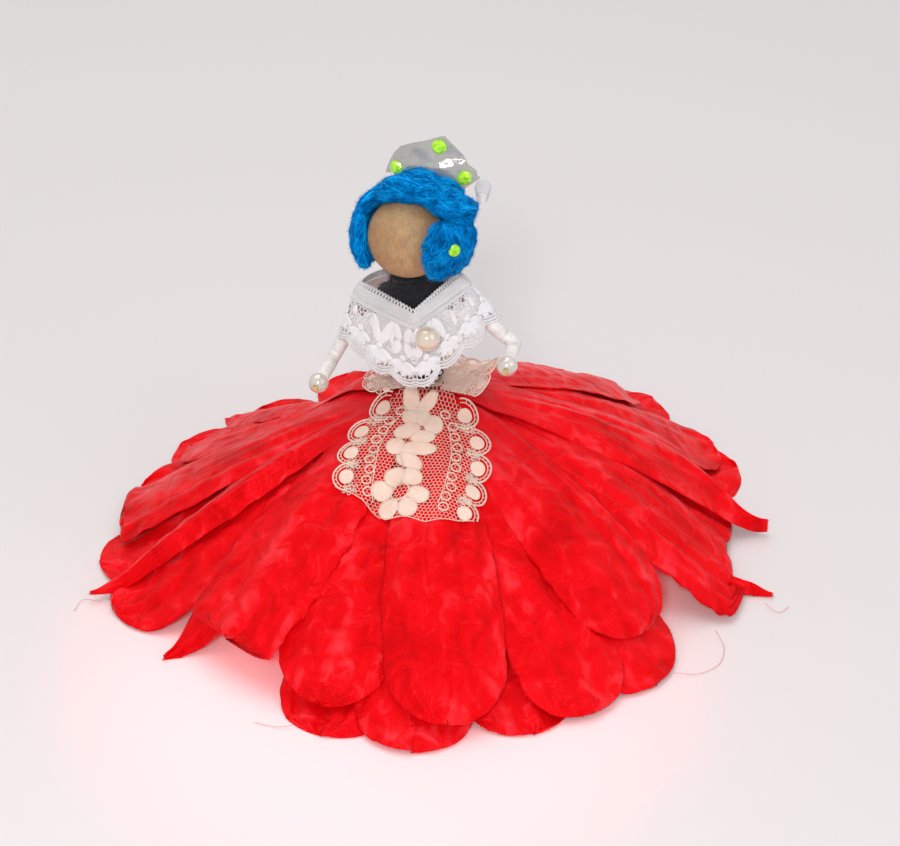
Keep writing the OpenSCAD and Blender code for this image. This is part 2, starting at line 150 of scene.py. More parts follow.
class Parts:
    """Collects tubes and shells into one mesh, with a tone from 0 to 1 and flat coordinates at each point."""

    def __init__(self):
        self.v, self.q, self.tone, self.flat, self.n = [], [], [], [], 0

    def add(self, verts, quads, tone=0.5, flat=None):
        verts = np.asarray(verts, float)
        self.v.append(verts)
        self.q.append(np.asarray(quads, int) + self.n)
        self.tone.append(np.broadcast_to(np.asarray(tone, float), (len(verts),)))
        self.flat.append(np.zeros((len(verts), 2)) if flat is None else flat)
        self.n += len(verts)

    def grid(self, points, tone, flat=None, wrap=False):
        """points is rows x columns x 3; wrap joins the last column to the first."""
        rows, cols = points.shape[:2]
        i = np.arange(rows * cols).reshape(rows, cols)
        j = np.roll(i, -1, axis=1) if wrap else i[:, 1:]
        k = i if wrap else i[:, :-1]
        quads = np.stack([k[:-1], j[:-1], j[1:], k[1:]], -1).reshape(-1, 4)
        tone = tone if np.isscalar(tone) else np.asarray(tone).reshape(-1)
        self.add(points.reshape(-1, 3), quads, tone, None if flat is None else flat.reshape(-1, 2))

    def fan(self, row, tone=0.5, place=np.asarray):
        """Closes an end: a triangle from each side of row to its middle."""
        n = len(row)
        faces = [[n, j, (j + 1) % n, (j + 1) % n] for j in range(n)]
        self.add(place(np.vstack([row, row.mean(0)])), faces, tone)

    def tube(self, path, radius, sides, tone=0.5):
        """A tube with closed ends along path. radius is one number or one for each point."""
        path = np.asarray(path, float)
        n = len(path)
        t = unit(np.gradient(path, axis=0))
        ref = np.array([0, 0, 1.0]) if abs(t[0][2]) < 0.9 else np.array([1.0, 0, 0])
        side, up = carried(t, unit(np.cross(t[0], ref)))
        ang = circle(sides)
        r = np.broadcast_to(radius, (n,))[:, None, None]
        rings = path[:, None] + r * about(ang, side[:, None], up[:, None])
        along = along_line(path)
        flat = np.stack(np.broadcast_arrays(ang[None] * np.mean(radius), along[:, None]), -1)
        first, last = rings[0].mean(0), rings[-1].mean(0)
        verts = np.vstack([rings.reshape(-1, 3), first, last])
        i = np.arange(n * sides).reshape(n, sides)
        j = np.roll(i, -1, axis=1)
        quads = np.stack([i[:-1], j[:-1], j[1:], i[1:]], -1).reshape(-1, 4)
        c0, c1 = n * sides, n * sides + 1
        ends = [[c0, j[0][k], i[0][k], i[0][k]] for k in range(sides)]
        ends += [[c1, i[-1][k], j[-1][k], j[-1][k]] for k in range(sides)]
        flat = np.vstack([flat.reshape(-1, 2), [0, 0], [0, along[-1]]])
        self.add(verts, np.vstack([quads, ends]), tone, flat)

    def struts(self, a, b, radius, tone=0.5):
        """Many straight four-sided threads from a to b at once, with closed ends."""
        s, u = across(unit(b - a))
        off = radius * about(circle(4), s[:, None], u[:, None])
        v = np.concatenate([a[:, None] + off, b[:, None] + off], axis=1)
        base = (np.arange(len(a)) * 8)[:, None, None]
        sides = np.array([[0, 1, 5, 4], [1, 2, 6, 5], [2, 3, 7, 6], [3, 0, 4, 7]])
        caps = np.array([[3, 2, 1, 0], [4, 5, 6, 7]])
        quads = [(part[None] + base).reshape(-1, 4) for part in (sides, caps)]
        self.add(v.reshape(-1, 3), np.vstack(quads), tone)

    def spikes(self, roots, tips, radius, tone=0.5):
        """Tapered fibres."""
        s, u = across(unit(tips - roots))
        off = radius * about(circle(3), s[:, None], u[:, None])
        v = np.concatenate([roots[:, None] + off, tips[:, None]], axis=1)
        base = (np.arange(len(roots)) * 4)[:, None, None]
        tri = np.array([[0, 1, 3, 3], [1, 2, 3, 3], [2, 0, 3, 3], [2, 1, 0, 0]])
        tone = np.repeat(np.broadcast_to(tone, (len(roots),)), 4)
        self.add(v.reshape(-1, 3), (tri[None] + base).reshape(-1, 4), tone)

    def object(self, name, material, shade_smooth=True):
        v = np.vstack(self.v) * MM
        q = np.vstack(self.q)
        tri = q[:, 2] == q[:, 3]
        count = np.where(tri, 3, 4)
        loops = q.reshape(-1)[(np.arange(4)[None] < count[:, None]).reshape(-1)]
        mesh = bpy.data.meshes.new(name)
        mesh.vertices.add(len(v))
        mesh.vertices.foreach_set("co", v.astype(np.float32).reshape(-1))
        mesh.loops.add(len(loops))
        mesh.loops.foreach_set("vertex_index", loops.astype(np.int32))
        mesh.polygons.add(len(q))
        first = np.concatenate([[0], np.cumsum(count)[:-1]])
        mesh.polygons.foreach_set("loop_start", first.astype(np.int32))
        mesh.polygons.foreach_set("use_smooth", np.full(len(q), shade_smooth))
        mesh.update(calc_edges=True)
        tone = mesh.attributes.new("tone", "FLOAT", "POINT")
        tone.data.foreach_set("value", np.concatenate(self.tone).astype(np.float32))
        layer = mesh.uv_layers.new(name="UVMap")
        layer.data.foreach_set("uv", np.vstack(self.flat)[loops].astype(np.float32).reshape(-1))
        mesh.validate()
        mesh.materials.append(material)
        obj = bpy.data.objects.new(name, mesh)
        bpy.context.scene.collection.objects.link(obj)
        return obj


def thin(obj, thickness):
    """Gives a one-sided sheet its thickness."""
    m = obj.modifiers.new("thickness", "SOLIDIFY")
    m.thickness = thickness * MM
    m.offset = 0
    return obj


# ---- Materials ----

class Shader:
    """A Principled material and short ways to add nodes to it."""

    def __init__(self, name, **values):
        self.m = bpy.data.materials.new(name)
        self.m.use_nodes = True
        self.t = self.m.node_tree
        self.p = self.t.nodes["Principled BSDF"]
        for key, value in values.items():
            self.p.inputs[key.replace("_", " ").title().replace("Ior", "IOR")].default_value = value

    def node(self, kind, inputs=(), **props):
        n = self.t.nodes.new(kind)
        for key, value in props.items():
            setattr(n, key, value)
        for key, value in dict(inputs).items():
            if isinstance(value, bpy.types.NodeSocket):
                self.t.links.new(value, n.inputs[key])
            else:
                n.inputs[key].default_value = value
        return n

    def flat(self, scale=(1, 1, 1), turn=0):
        uv = self.node("ShaderNodeUVMap", uv_map="UVMap").outputs[0]
        return self.node("ShaderNodeMapping", {"Vector": uv, "Scale": scale, "Rotation": (0, 0, turn)}).outputs[0]

    def place(self, scale=(1, 1, 1)):
        at = self.node("ShaderNodeTexCoord").outputs["Object"]
        return self.node("ShaderNodeMapping", {"Vector": at, "Scale": scale}).outputs[0]

    def tone(self):
        return self.node("ShaderNodeAttribute", attribute_name="tone").outputs["Fac"]

    def noise(self, at, scale, detail, rough=0.55, distort=0.0):
        inputs = {"Vector": at, "Scale": scale, "Detail": detail, "Roughness": rough, "Distortion": distort}
        return self.node("ShaderNodeTexNoise", inputs).outputs["Fac"]

    def wave(self, at, scale, axis, distort=0.0, detail=0.0, detail_scale=1.0):
        inputs = {"Vector": at, "Scale": scale, "Distortion": distort, "Detail": detail, "Detail Scale": detail_scale}
        return self.node("ShaderNodeTexWave", inputs, bands_direction=axis).outputs["Fac"]

    def math(self, op, a, b):
        return self.node("ShaderNodeMath", {0: a, 1: b}, operation=op).outputs[0]

    def total(self, *pairs):
        """Sum of values, each times its weight."""
        terms = [self.math("MULTIPLY", value, weight) for value, weight in pairs]
        while len(terms) > 1:
            last = terms.pop()
            terms[-1] = self.math("ADD", terms[-1], last)
        return terms[0]

    def remap(self, value, a, b, lo, hi):
        inputs = {"Value": value, "From Min": a, "From Max": b, "To Min": lo, "To Max": hi}
        return self.node("ShaderNodeMapRange", inputs).outputs[0]

    def ramp(self, value, stops):
        n = self.node("ShaderNodeValToRGB", {"Fac": value})
        while len(n.color_ramp.elements) < len(stops):
            n.color_ramp.elements.new(0.5)
        for e, (at, colour) in zip(n.color_ramp.elements, stops):
            e.position = at
            e.color = (*colour, 1)
        return n.outputs["Color"]

    def mix(self, factor, a, b):
        n = self.node("ShaderNodeMix", data_type="RGBA")
        for socket, value in ((n.inputs[0], factor), (n.inputs[6], a), (n.inputs[7], b)):
            if isinstance(value, bpy.types.NodeSocket):
                self.t.links.new(value, socket)
            else:
                socket.default_value = (*value, 1) if isinstance(value, tuple) and len(value) == 3 else value
        return n.outputs[2]

    def set(self, name, value):
        self.t.links.new(value, self.p.inputs[name])

    def bump(self, *layers):
        """Each layer is (height, distance in millimetres, strength)."""
        normal = None
        for height, distance, strength in layers:
            n = self.node("ShaderNodeBump", {"Height": height, "Distance": distance * MM, "Strength": strength})
            if normal is not None:
                self.t.links.new(normal, n.inputs["Normal"])
            normal = n.outputs["Normal"]
        self.set("Normal", normal)


def satin():
    s = Shader("red_satin", anisotropic=0.6, specular_ior_level=0.55, specular_tint=(1, 0.07, 0.09, 1),
               sheen_weight=0.16, sheen_roughness=0.35, sheen_tint=(1, 0.06, 0.08, 1))
    uv = s.flat()
    warp, weft = s.wave(uv, 0.50, "X", 0.5, 1, 2), s.wave(uv, 0.50, "Y", 0.5, 1, 2)
    weave = s.math("MULTIPLY", warp, weft)
    patch = s.noise(s.flat((0.090, 0.040, 1)), 1.0, 2, 0.5, 0.5)
    crush = s.noise(s.flat((0.21, 0.17, 1)), 1.0, 2, 0.5, 0.8)
    pull = s.noise(s.flat((0.40, 0.06, 1)), 1.0, 2, 0.5, 0.3)
    value = s.total((patch, 0.45), (crush, 0.40), (pull, 0.15))
    # Painted sheen and painted shade: the same noise that raises and lowers the bumps turns the red darker or pinkish,
    # from a dark red to a pinkish red.
    light = s.ramp(value, [(0.36, (0.58, 0.0, 0.001)), (0.45, (0.76, 0.0, 0.002)), (0.54, (0.87, 0.002, 0.006)),
                           (0.66, (1.0, 0.040, 0.055))])
    # Painted shade: towards the waist, where the tone is high, the colour goes to a darker red.
    waist = s.mix(s.math("MULTIPLY", s.tone(), 0.6), light, (0.66, 0.006, 0.013))
    # The weave's threads are lightened toward a pinkish red: painted sheen on the threads.
    s.set("Base Color", s.mix(s.math("MULTIPLY", weave, 0.16), waist, (1.0, 0.03, 0.04)))
    s.set("Roughness", s.remap(value, 0.38, 0.62, 0.46, 0.28))
    s.bump((patch, 2.4, 0.5), (crush, 1.7, 0.7), (pull, 0.35, 0.4), (weave, 0.07, 0.5))
    return s.m


def lace_cotton(name, colour, shade):
    s = Shader(name, roughness=0.72, sheen_weight=0.35, sheen_roughness=0.5, subsurface_weight=0.12,
               subsurface_scale=0.0006)
    at = s.place()
    cloud = s.noise(at, 260, 3)
    ply = s.wave(s.flat(turn=0.5), 0.72, "X", 1.2, 2, 1.5)
    fibre = s.total((s.noise(at, 5200, 2, 0.6), 0.6), (ply, 0.4))
    light = s.remap(s.total((cloud, 0.6), (fibre, 0.4)), 0.35, 0.62, 0, 1)
    s.set("Base Color", s.mix(light, shade, colour))
    s.bump((fibre, 0.14, 0.9))
    return s.m


def floss(name, dark, mid, bright, rough):
    s = Shader(name, specular_ior_level=0.3, specular_tint=(*bright, 1), sheen_weight=0.25, sheen_roughness=0.5,
               sheen_tint=(*bright, 1))
    patch = s.noise(s.place(), 330, 4, 0.6)
    streak = s.noise(s.place(), 2600, 3, 0.6)
    value = s.total((s.tone(), 0.26), (patch, 0.60), (streak, 0.14))
    s.set("Base Color", s.ramp(value, [(0.36, dark), (0.49, mid), (0.63, bright)]))
    s.set("Roughness", s.remap(streak, 0.3, 0.7, rough - 0.1, rough + 0.15))
    s.bump((streak, 0.15, 0.6))
    return s.m


def chenille():
    s = Shader("black_chenille", roughness=0.8, sheen_weight=0.25, sheen_roughness=0.3)
    fuzz = s.noise(s.place(), 3000, 3, 0.7)
    s.set("Base Color", s.mix(fuzz, (0.002, 0.002, 0.004), (0.018, 0.018, 0.026)))
    s.bump((fuzz, 0.3, 1.0))
    return s.m


def bare_wood():
    s = Shader("bare_wood", specular_ior_level=0.25)
    rings = s.wave(s.place((1, 1, 0.25)), 26, "X", 5.5, 3, 1.6)
    fleck = s.noise(s.place((1, 1, 0.3)), 1500, 4, 0.7)
    blotch = s.noise(s.place(), 150, 4, 0.6, 0.4)
    smudge = s.noise(s.place(), 330, 4, 0.6, 0.2)
    base = s.mix(rings, (0.49, 0.30, 0.150), (0.55, 0.355, 0.18))
    base = s.mix(s.remap(blotch, 0.42, 0.66, 0, 0.7), base, (0.47, 0.255, 0.115))
    base = s.mix(s.remap(smudge, 0.42, 0.74, 0, 0.42), base, (0.22, 0.150, 0.085))
    base = s.mix(s.remap(fleck, 0.42, 0.70, 0, 0.55), base, (0.26, 0.165, 0.09))
    s.set("Base Color", base)
    s.set("Roughness", s.remap(fleck, 0.3, 0.7, 0.52, 0.75))
    s.bump((fleck, 0.06, 0.35), (rings, 0.04, 0.2))
    return s.m


def pearl(name, colour, warm, rough, scatter):
    s = Shader(name, roughness=rough, metallic=0.08, coat_weight=1.0, coat_roughness=0.17, coat_ior=2.0,
               sheen_weight=0.2, subsurface_weight=scatter, subsurface_scale=0.002)
    cloud = s.noise(s.place(), 260, 3)
    s.set("Base Color", s.mix(s.remap(cloud, 0.35, 0.65, 0, 1), colour, warm))
    s.bump((s.noise(s.place(), 900, 2), 0.02, 0.3))
    return s.m


def stone():
    # The stone glows a little by itself through emission: painted sparkle, as it is not a lamp.
    s = Shader("green_stone", roughness=0.05, metallic=0.35, coat_weight=1.0, coat_roughness=0.02,
               emission_color=(0.35, 0.9, 0.02, 1), emission_strength=0.22)
    depth = s.noise(s.place(), 700, 2)
    colours = [(0.35, (0.16, 0.52, 0.004)), (0.5, (0.36, 0.80, 0.01)), (0.68, (0.66, 1.0, 0.06))]
    s.set("Base Color", s.ramp(depth, colours))
    s.bump((depth, 0.05, 0.2))
    return s.m


def clear_film(name, dark, light, see_through, solid, dent):
    s = Shader(name, coat_weight=1.0, coat_roughness=0.03, specular_ior_level=0.8)
    crease = s.noise(s.place(), 170, 3, 0.5)
    scuff = s.noise(s.place((1, 1, 3)), 1500, 3, 0.6)
    s.set("Base Color", s.mix(crease, dark, light))
    s.set("Roughness", s.remap(scuff, 0.35, 0.7, 0.06, 0.24))
    s.set("Alpha", s.remap(crease, 0.3, 0.7, see_through, solid))
    s.bump((crease, dent, 0.5), (scuff, 0.03, 0.3))
    return s.m


def metal(name, colour, rough):
    s = Shader(name, metallic=1.0)
    draw = s.noise(s.place((1, 1, 0.1)), 3000, 3, 0.6)
    tarnish = s.noise(s.place(), 300, 3)
    dull = tuple(0.5 * c for c in colour)
    s.set("Base Color", s.mix(s.remap(tarnish, 0.4, 0.75, 0, 0.6), colour, dull))
    s.set("Roughness", s.remap(draw, 0.3, 0.7, rough - 0.08, rough + 0.12))
    s.bump((draw, 0.02, 0.4))
    return s.m


def plain(name, colour, dark, rough, scale, height, coat=0.0):
    s = Shader(name, coat_weight=coat)
    grain = s.noise(s.place(), scale, 5, 0.65)
    s.set("Base Color", s.mix(s.remap(grain, 0.35, 0.65, 0, 1), dark, colour))
    s.set("Roughness", s.remap(grain, 0.3, 0.7, rough - 0.08, rough + 0.1))
    s.bump((grain, height, 0.6))
    return s.m


def tulle():
    s = Shader("white_tulle", sheen_weight=0.2)
    threads = s.math("MAXIMUM", *(s.wave(s.flat(turn=0.785), 0.34, axis) for axis in "XY"))
    patch = s.noise(s.flat((0.35, 0.35, 1)), 1.0, 3, 0.5, 1.5)
    s.set("Base Color", s.mix(threads, (0.89, 0.83, 0.84), (0.97, 0.94, 0.94)))
    s.set("Roughness", s.remap(patch, 0.3, 0.7, 0.6, 0.9))
    s.bump((threads, 0.08, 0.7), (patch, 0.3, 0.4))
    return s.m


RED = satin()
CREAM = lace_cotton("cream_lace", (1.0, 0.76, 0.63), (0.91, 0.61, 0.49))
PEACH = lace_cotton("peach_lace", (1.0, 0.78, 0.66), (0.97, 0.66, 0.54))
TULLE = tulle()
WHITE = lace_cotton("white_lace", (0.98, 0.95, 0.955), (0.91, 0.865, 0.875))
BLUE = floss("blue_floss", (0.0, 0.080, 0.31), (0.0, 0.250, 0.70), (0.006, 0.47, 1.0), 0.5)
FLOSS = floss("white_floss", (0.50, 0.47, 0.44), (0.78, 0.74, 0.70), (0.93, 0.91, 0.89), 0.36)
BLACK = chenille()
WOOD = bare_wood()
PEARL = pearl("pearl", (0.80, 0.76, 0.70), (0.74, 0.60, 0.42), 0.16, 0.25)
BEAD = pearl("hand_bead", (0.72, 0.69, 0.64), (0.58, 0.52, 0.42), 0.16, 0.5)
STONE = stone()
FILM = clear_film("clear_film", (0.32, 0.33, 0.29), (0.50, 0.50, 0.47), 0.42, 0.62, 1.2)
CURL = clear_film("clear_curl", (0.56, 0.56, 0.60), (0.74, 0.74, 0.78), 0.42, 0.58, 0.2)
GOLD = metal("gold_wire", (0.86, 0.60, 0.22), 0.25)
STEEL = metal("stem_steel", (0.60, 0.60, 0.58), 0.34)
STAND = plain("stand_card", (0.72, 0.62, 0.46), (0.60, 0.50, 0.36), 0.85, 1500, 0.12)
PLASTIC = plain("white_plastic", (0.82, 0.81, 0.77), (0.72, 0.71, 0.67), 0.45, 900, 0.03)
GREEN = plain("green_plastic", (0.06, 0.22, 0.05), (0.03, 0.13, 0.03), 0.4, 1200, 0.08, 0.2)
THREAD = plain("cream_thread", (0.88, 0.70, 0.54), (0.66, 0.48, 0.34), 0.7, 2600, 0.15)

for name, mat in {
    "stand_disc": STAND, "lower_stem": STEEL, "whorl_nut": GREEN, "waist_thread": THREAD, "waist_link": STEEL,
    "upper_stem": STEEL, "arm_wire": GOLD, "shawl_pearl": PEARL, "pearl_pin": STEEL, "neck_wire": STEEL,
    "head_bead": WOOD, "left_hand_bead": BEAD, "right_hand_bead": BEAD, "left_upper_wire": GOLD,
    "right_upper_wire": GOLD, "left_forearm_wire": GOLD, "right_forearm_wire": GOLD,
    "whorl_spacer_1": PLASTIC, "whorl_spacer_2": PLASTIC, "whorl_spacer_3": PLASTIC,
}.items():
    nodes[name].data.materials.clear()
    nodes[name].data.materials.append(mat)
    nodes[name].data.polygons.foreach_set("use_smooth", np.ones(len(nodes[name].data.polygons), bool))


# ---- The gown: four whorls of satin petals ----

HUB_Z, PITCH, FALL = 45.0, 1.6, 1.45
REST = [85.0, 82.5, 80.0, 78.0]      # where each whorl's fall would meet the ground
HUB_R = 1.3                          # radius at which the petals begin
HALF_SECTOR = math.radians(22.5)     # eight petals to a whorl
ROUND = 6.28                         # a full turn, for random phases and ripples

# The gown droops behind the doll's right side: how far, by angle round from the front
DROOP_AT = ([0, 135, 160, 180, 200, 218, 235, 250, 265, 282, 360], [0, 0, 2.5, 5, 11, 14, 11.5, 6.5, 3, 0, 0])


def gown_z(r, k, az=0.0):
    """Height of whorl k (0 is the top one) at radius r. Near the ground it lies out flat."""
    floor = 0.35 + 0.45 * (3 - k)
    z = (HUB_Z - k * PITCH - 0.4) * (1 - (np.maximum(r, 0) / REST[k]) ** FALL) - floor
    z = z - np.interp(np.mod(az, 360), *DROOP_AT) * smooth((r - 20) / 16)
    return floor + 1.1 * np.logaddexp(0, z / 1.1)


# (angle from the front towards the doll's left, reach, half-width, tip, arch, sideways bend)
PETALS = [
    [(12, 79.5, 14.5, "round", 2.6, 1), (53, 73, 14, "round", 2.6, 2), (106, 86.5, 12.5, "claw", 3.0, 0),
     (148, 80, 14.5, "round", 2.4, 1), (193, 68, 14.5, "round", 1.8, -2), (239, 73, 13.5, "point", 2.6, 3),
     (301, 90, 6.0, "point", 3.0, -3), (328, 73, 14, "square", 2.2, 0)],
    [(-9, 77, 14, "round", 1.3, -1), (36, 82, 13.5, "round", 1.3, 2), (82, 79.5, 14, "slant", 2.2, 0),
     (124, 85, 14, "round", 1.3, 1), (170, 78, 14, "round", 1.2, 1), (213, 64, 14, "round", 1.2, -1),
     (252, 74, 13.5, "round", 1.4, 1), (278, 80.5, 13, "square", 1.6, 0)],
    [(7, 85, 14, "round", 1.0, 0), (51, 82, 13.5, "round", 1.8, 0), (97, 78, 14, "round", 1.2, 1),
     (143, 85.5, 14, "round", 1.0, 0), (188, 76, 14, "round", 0.8, 0), (230, 72, 13, "round", 1.0, 1),
     (268, 79, 13.5, "round", 1.0, 0), (304, 86, 13.5, "round", 1.8, -1)],
    [(27, 82, 13.5, "round", 0.9, 0), (79, 90, 7, "point", 1.8, 4), (118, 87, 13.5, "round", 0.7, 0),
     (162, 82, 13.5, "round", 0.7, 0), (207, 76, 13.5, "round", 0.6, 0), (252, 78, 13.5, "round", 0.6, 0),
     (290, 86, 12, "round", 0.8, 0), (319, 83, 11.5, "point", 0.8, 0), (352, 83, 13.5, "round", 0.9, 0)],
]


def petal(k, az, reach, half, tip, arch, bend, seed):
    """Points of one petal as a grid, its flat coordinates and its tone. arch is how far its middle line stands up."""
    r = np.random.default_rng(seed)
    ns, nu = 110, 45
    s = 1 - (1 - np.linspace(0, 1, ns)) ** 1.3
    rad = HUB_R + (reach - HUB_R) * s
    wide = half * (0.50 + 0.50 * smooth((rad - 8) / (0.66 * reach)))
    wide = np.minimum(rad * math.tan(HALF_SECTOR) * 1.06, wide)
    # Where the tip begins, and how its width falls away from there
    fall = {"round": (1 - 0.95 * half / reach, 2.3, 0.5), "point": (0.52, 1.5, 0.9)}
    cut, power, root = fall.get(tip, (0.93, 7, 0.4))
    f = np.clip(1 - np.clip((s - cut) / (1 - cut), 0, 1) ** power, 0, 1) ** root
    if tip == "claw":
        f = np.ones(ns)
    wide = np.maximum(wide * f, 0.12)
    u = np.linspace(-1, 1, nu)
    rag = 0.014 if tip == "round" else 0.03
    nicks = np.convolve(r.standard_normal(ns + 4), [0.25, 0.5, 0.6, 0.5, 0.25], "valid") * (s > 0.3)
    x = u[None] * wide[:, None] * (1 + (np.abs(u[None]) > 0.99) * rag * nicks[:, None])
    rr = np.broadcast_to(rad[:, None], x.shape).copy()
    if tip == "claw":
        # The side away from the front curves in, so that the near corner is drawn out to a point
        far = 1 - 1.9 * smooth((s - 0.70) / 0.30)[:, None] ** 1.3
        x = wide[:, None] * (-(1 - u[None]) / 2 + far * (1 + u[None]) / 2)
    if tip == "slant":
        rr -= 3.2 * u[None] * smooth((s - 0.6) / 0.4)[:, None]
    if tip in ("square", "slant"):
        uneven = 0.5 * np.sin(5 * u + seed) + 0.25 * np.sin(17 * u + 2 * seed) + 0.22 * r.standard_normal(nu)
        rr += uneven[None] * smooth((s - 0.85) / 0.15)[:, None]
    side = x + bend * smooth((s - 0.25) / 0.75)[:, None]
    here = az + np.degrees(np.arctan2(side, rr))
    z = gown_z(np.hypot(side, rr), k, here)
    free = smooth((rad - 14) / 34)[:, None]
    z = z + arch * (1 - u[None] ** 2) * free * (0.25 + 0.75 * f[:, None])
    if tip == "point":
        fold = smooth((s - 0.55) / 0.35) * (1 - smooth((s - 0.93) / 0.07))
        z = z + 1.6 * fold[:, None] * (1 - np.abs(u[None]))
    for _ in range(4):
        a, p, fx, fs = r.uniform(0.10, 0.32), r.uniform(0, ROUND), r.uniform(-1.0, 1.0), r.uniform(0.5, 2.0)
        z = z + a * free * np.sin(ROUND * (fx * u[None] + fs * s[:, None]) + p)
    for _ in range(9):
        # Puckers, 4 to 10 mm from one to the next
        a, p, th, wl = r.uniform(0.05, 0.13), r.uniform(0, ROUND), r.uniform(-1.3, 1.3), r.uniform(4, 10)
        q = (x * math.sin(th) + rr * math.cos(th)) / wl + 0.35 * np.sin(rr / 9.0 + p) + 0.3 * np.sin(x / 6.0 - p)
        z = z + a * free * np.sin(ROUND * q + p) * (0.5 + 0.5 * np.sin(rr / 13.0 + 2.1 * p + x / 8.0))
    for _ in range(5):
        u0, w, a = r.uniform(-0.8, 0.8), r.uniform(0.07, 0.16), r.uniform(0.3, 0.75) * r.choice([-1, 1])
        drift = r.uniform(-0.35, 0.35)
        z = z + a * smooth((rad - 12) / 22)[:, None] * np.exp(-((u[None] - u0 - drift * s[:, None]) / w) ** 2)
    z = np.maximum(z, 0.2 + 0.3 * (3 - k))
    pts = np.stack([*spun(side, -rr, az), z], -1)
    along = along_line(np.stack([rad, gown_z(rad, k, az)], -1))
    flat = np.stack(np.broadcast_arrays(x + 40 * seed, along[:, None] + 17.0 * seed), -1)
    # The tone is 1 at the waist and falls to 0 further out; the satin is painted darker by it, as painted shade where
    # the petals gather under the body.
    tone = np.broadcast_to((1 - smooth((rad - 8) / 36))[:, None], x.shape)
    return pts, flat, tone


CELL, REACH, CELLS = 0.8, 64.0, 160
FIBRES = 110                         # frayed fibres round each petal's edge
top_cloth = np.full((CELLS, CELLS), -np.inf)      # height of the upper whorls' cloth, for the lace that lies on it
fray = Parts()
for k, petals in enumerate(PETALS):
    cloth = Parts()
    for i, (az, reach, half, tip, arch, bend) in enumerate(petals):
        pts, flat, tone = petal(k, az, reach, half, tip, arch, bend, 10 * k + i + 1)
        cloth.grid(pts, tone, flat)
        if k < 2:
            i_x, i_y = ((pts[..., q] + REACH) / CELL for q in (0, 1))
            on = (np.abs(pts[..., 0]) < REACH - 1) & (np.abs(pts[..., 1]) < REACH - 1)
            np.maximum.at(top_cloth, (i_x[on].astype(int), i_y[on].astype(int)), pts[..., 2][on])
        edge = np.concatenate([pts[30:, 0], pts[-1, 1:-1], pts[30:, -1][::-1]])
        middle = np.concatenate([pts[30:, 4], pts[-6, 1:-1], pts[30:, -5][::-1]])
        pick = rng.integers(0, len(edge), FIBRES)
        out = unit(edge[pick] - middle[pick]) + 0.55 * rng.standard_normal((FIBRES, 3))
        tips = edge[pick] + unit(out) * rng.uniform(0.25, 1.1, (FIBRES, 1)) ** 1.4
        tips[:, 2] = np.maximum(tips[:, 2], 0.1)
        fray.spikes(edge[pick], tips, 0.035)
    obj = thin(cloth.object(f"satin_whorl_{k + 1}", RED), 0.22)
    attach(obj, "gown")
    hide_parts(f"petal_whorl_{k + 1}")


def neighbours(grid):
    return [np.roll(grid, (i, j), (0, 1)) for i in (-1, 0, 1) for j in (-1, 0, 1)]


for _ in range(6):
    top_cloth = np.where(np.isfinite(top_cloth), top_cloth, np.max(neighbours(top_cloth), axis=0))
for _ in range(3):
    around = np.mean(neighbours(top_cloth), axis=0)
    top_cloth = np.where(np.isfinite(around), around, 0)


def cloth_z(x, y):
    """Height of the gown's top at a place, smoothed."""
    i, j = (np.clip((q + REACH) / CELL - 0.5, 0, CELLS - 2.1) for q in (x, y))
    a, b = i.astype(int), j.astype(int)
    f, g = i - a, j - b
    t = top_cloth
    return (t[a, b] * (1 - f) + t[a + 1, b] * f) * (1 - g) + (t[a, b + 1] * (1 - f) + t[a + 1, b + 1] * f) * g


# Stray threads at the hem: (angle, radius, height) of the points along each
for points in (
    [(55, 82, 1.0), (58, 86, 0.3), (62, 88, 0.25), (66, 86, 0.3), (68, 82, 2.0)],
    [(301, 88, 1.2), (299, 92, 0.4), (301, 95, 0.2)],
    [(79, 89, 1.0), (78, 93, 0.4), (80, 95, 0.3)],
    [(349, 81, 1.4), (345, 84, 0.4), (341, 85, 0.2)],
):
    fray.tube(curve_through([(*spun(0, -r, az), z) for az, r, z in points], 24), 0.05, 4)
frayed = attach(fray.object("satin_fray", RED), "gown")


# ---- Lace: threads laid on a surface ----

CORD_STEP, CORD_LIFT = 0.38, 0.1      # points along a cord, and how far its middle lies above the surface
CORD_TONE, SOLID_TONE, NET_TONE = 0.6, 0.75, 0.35


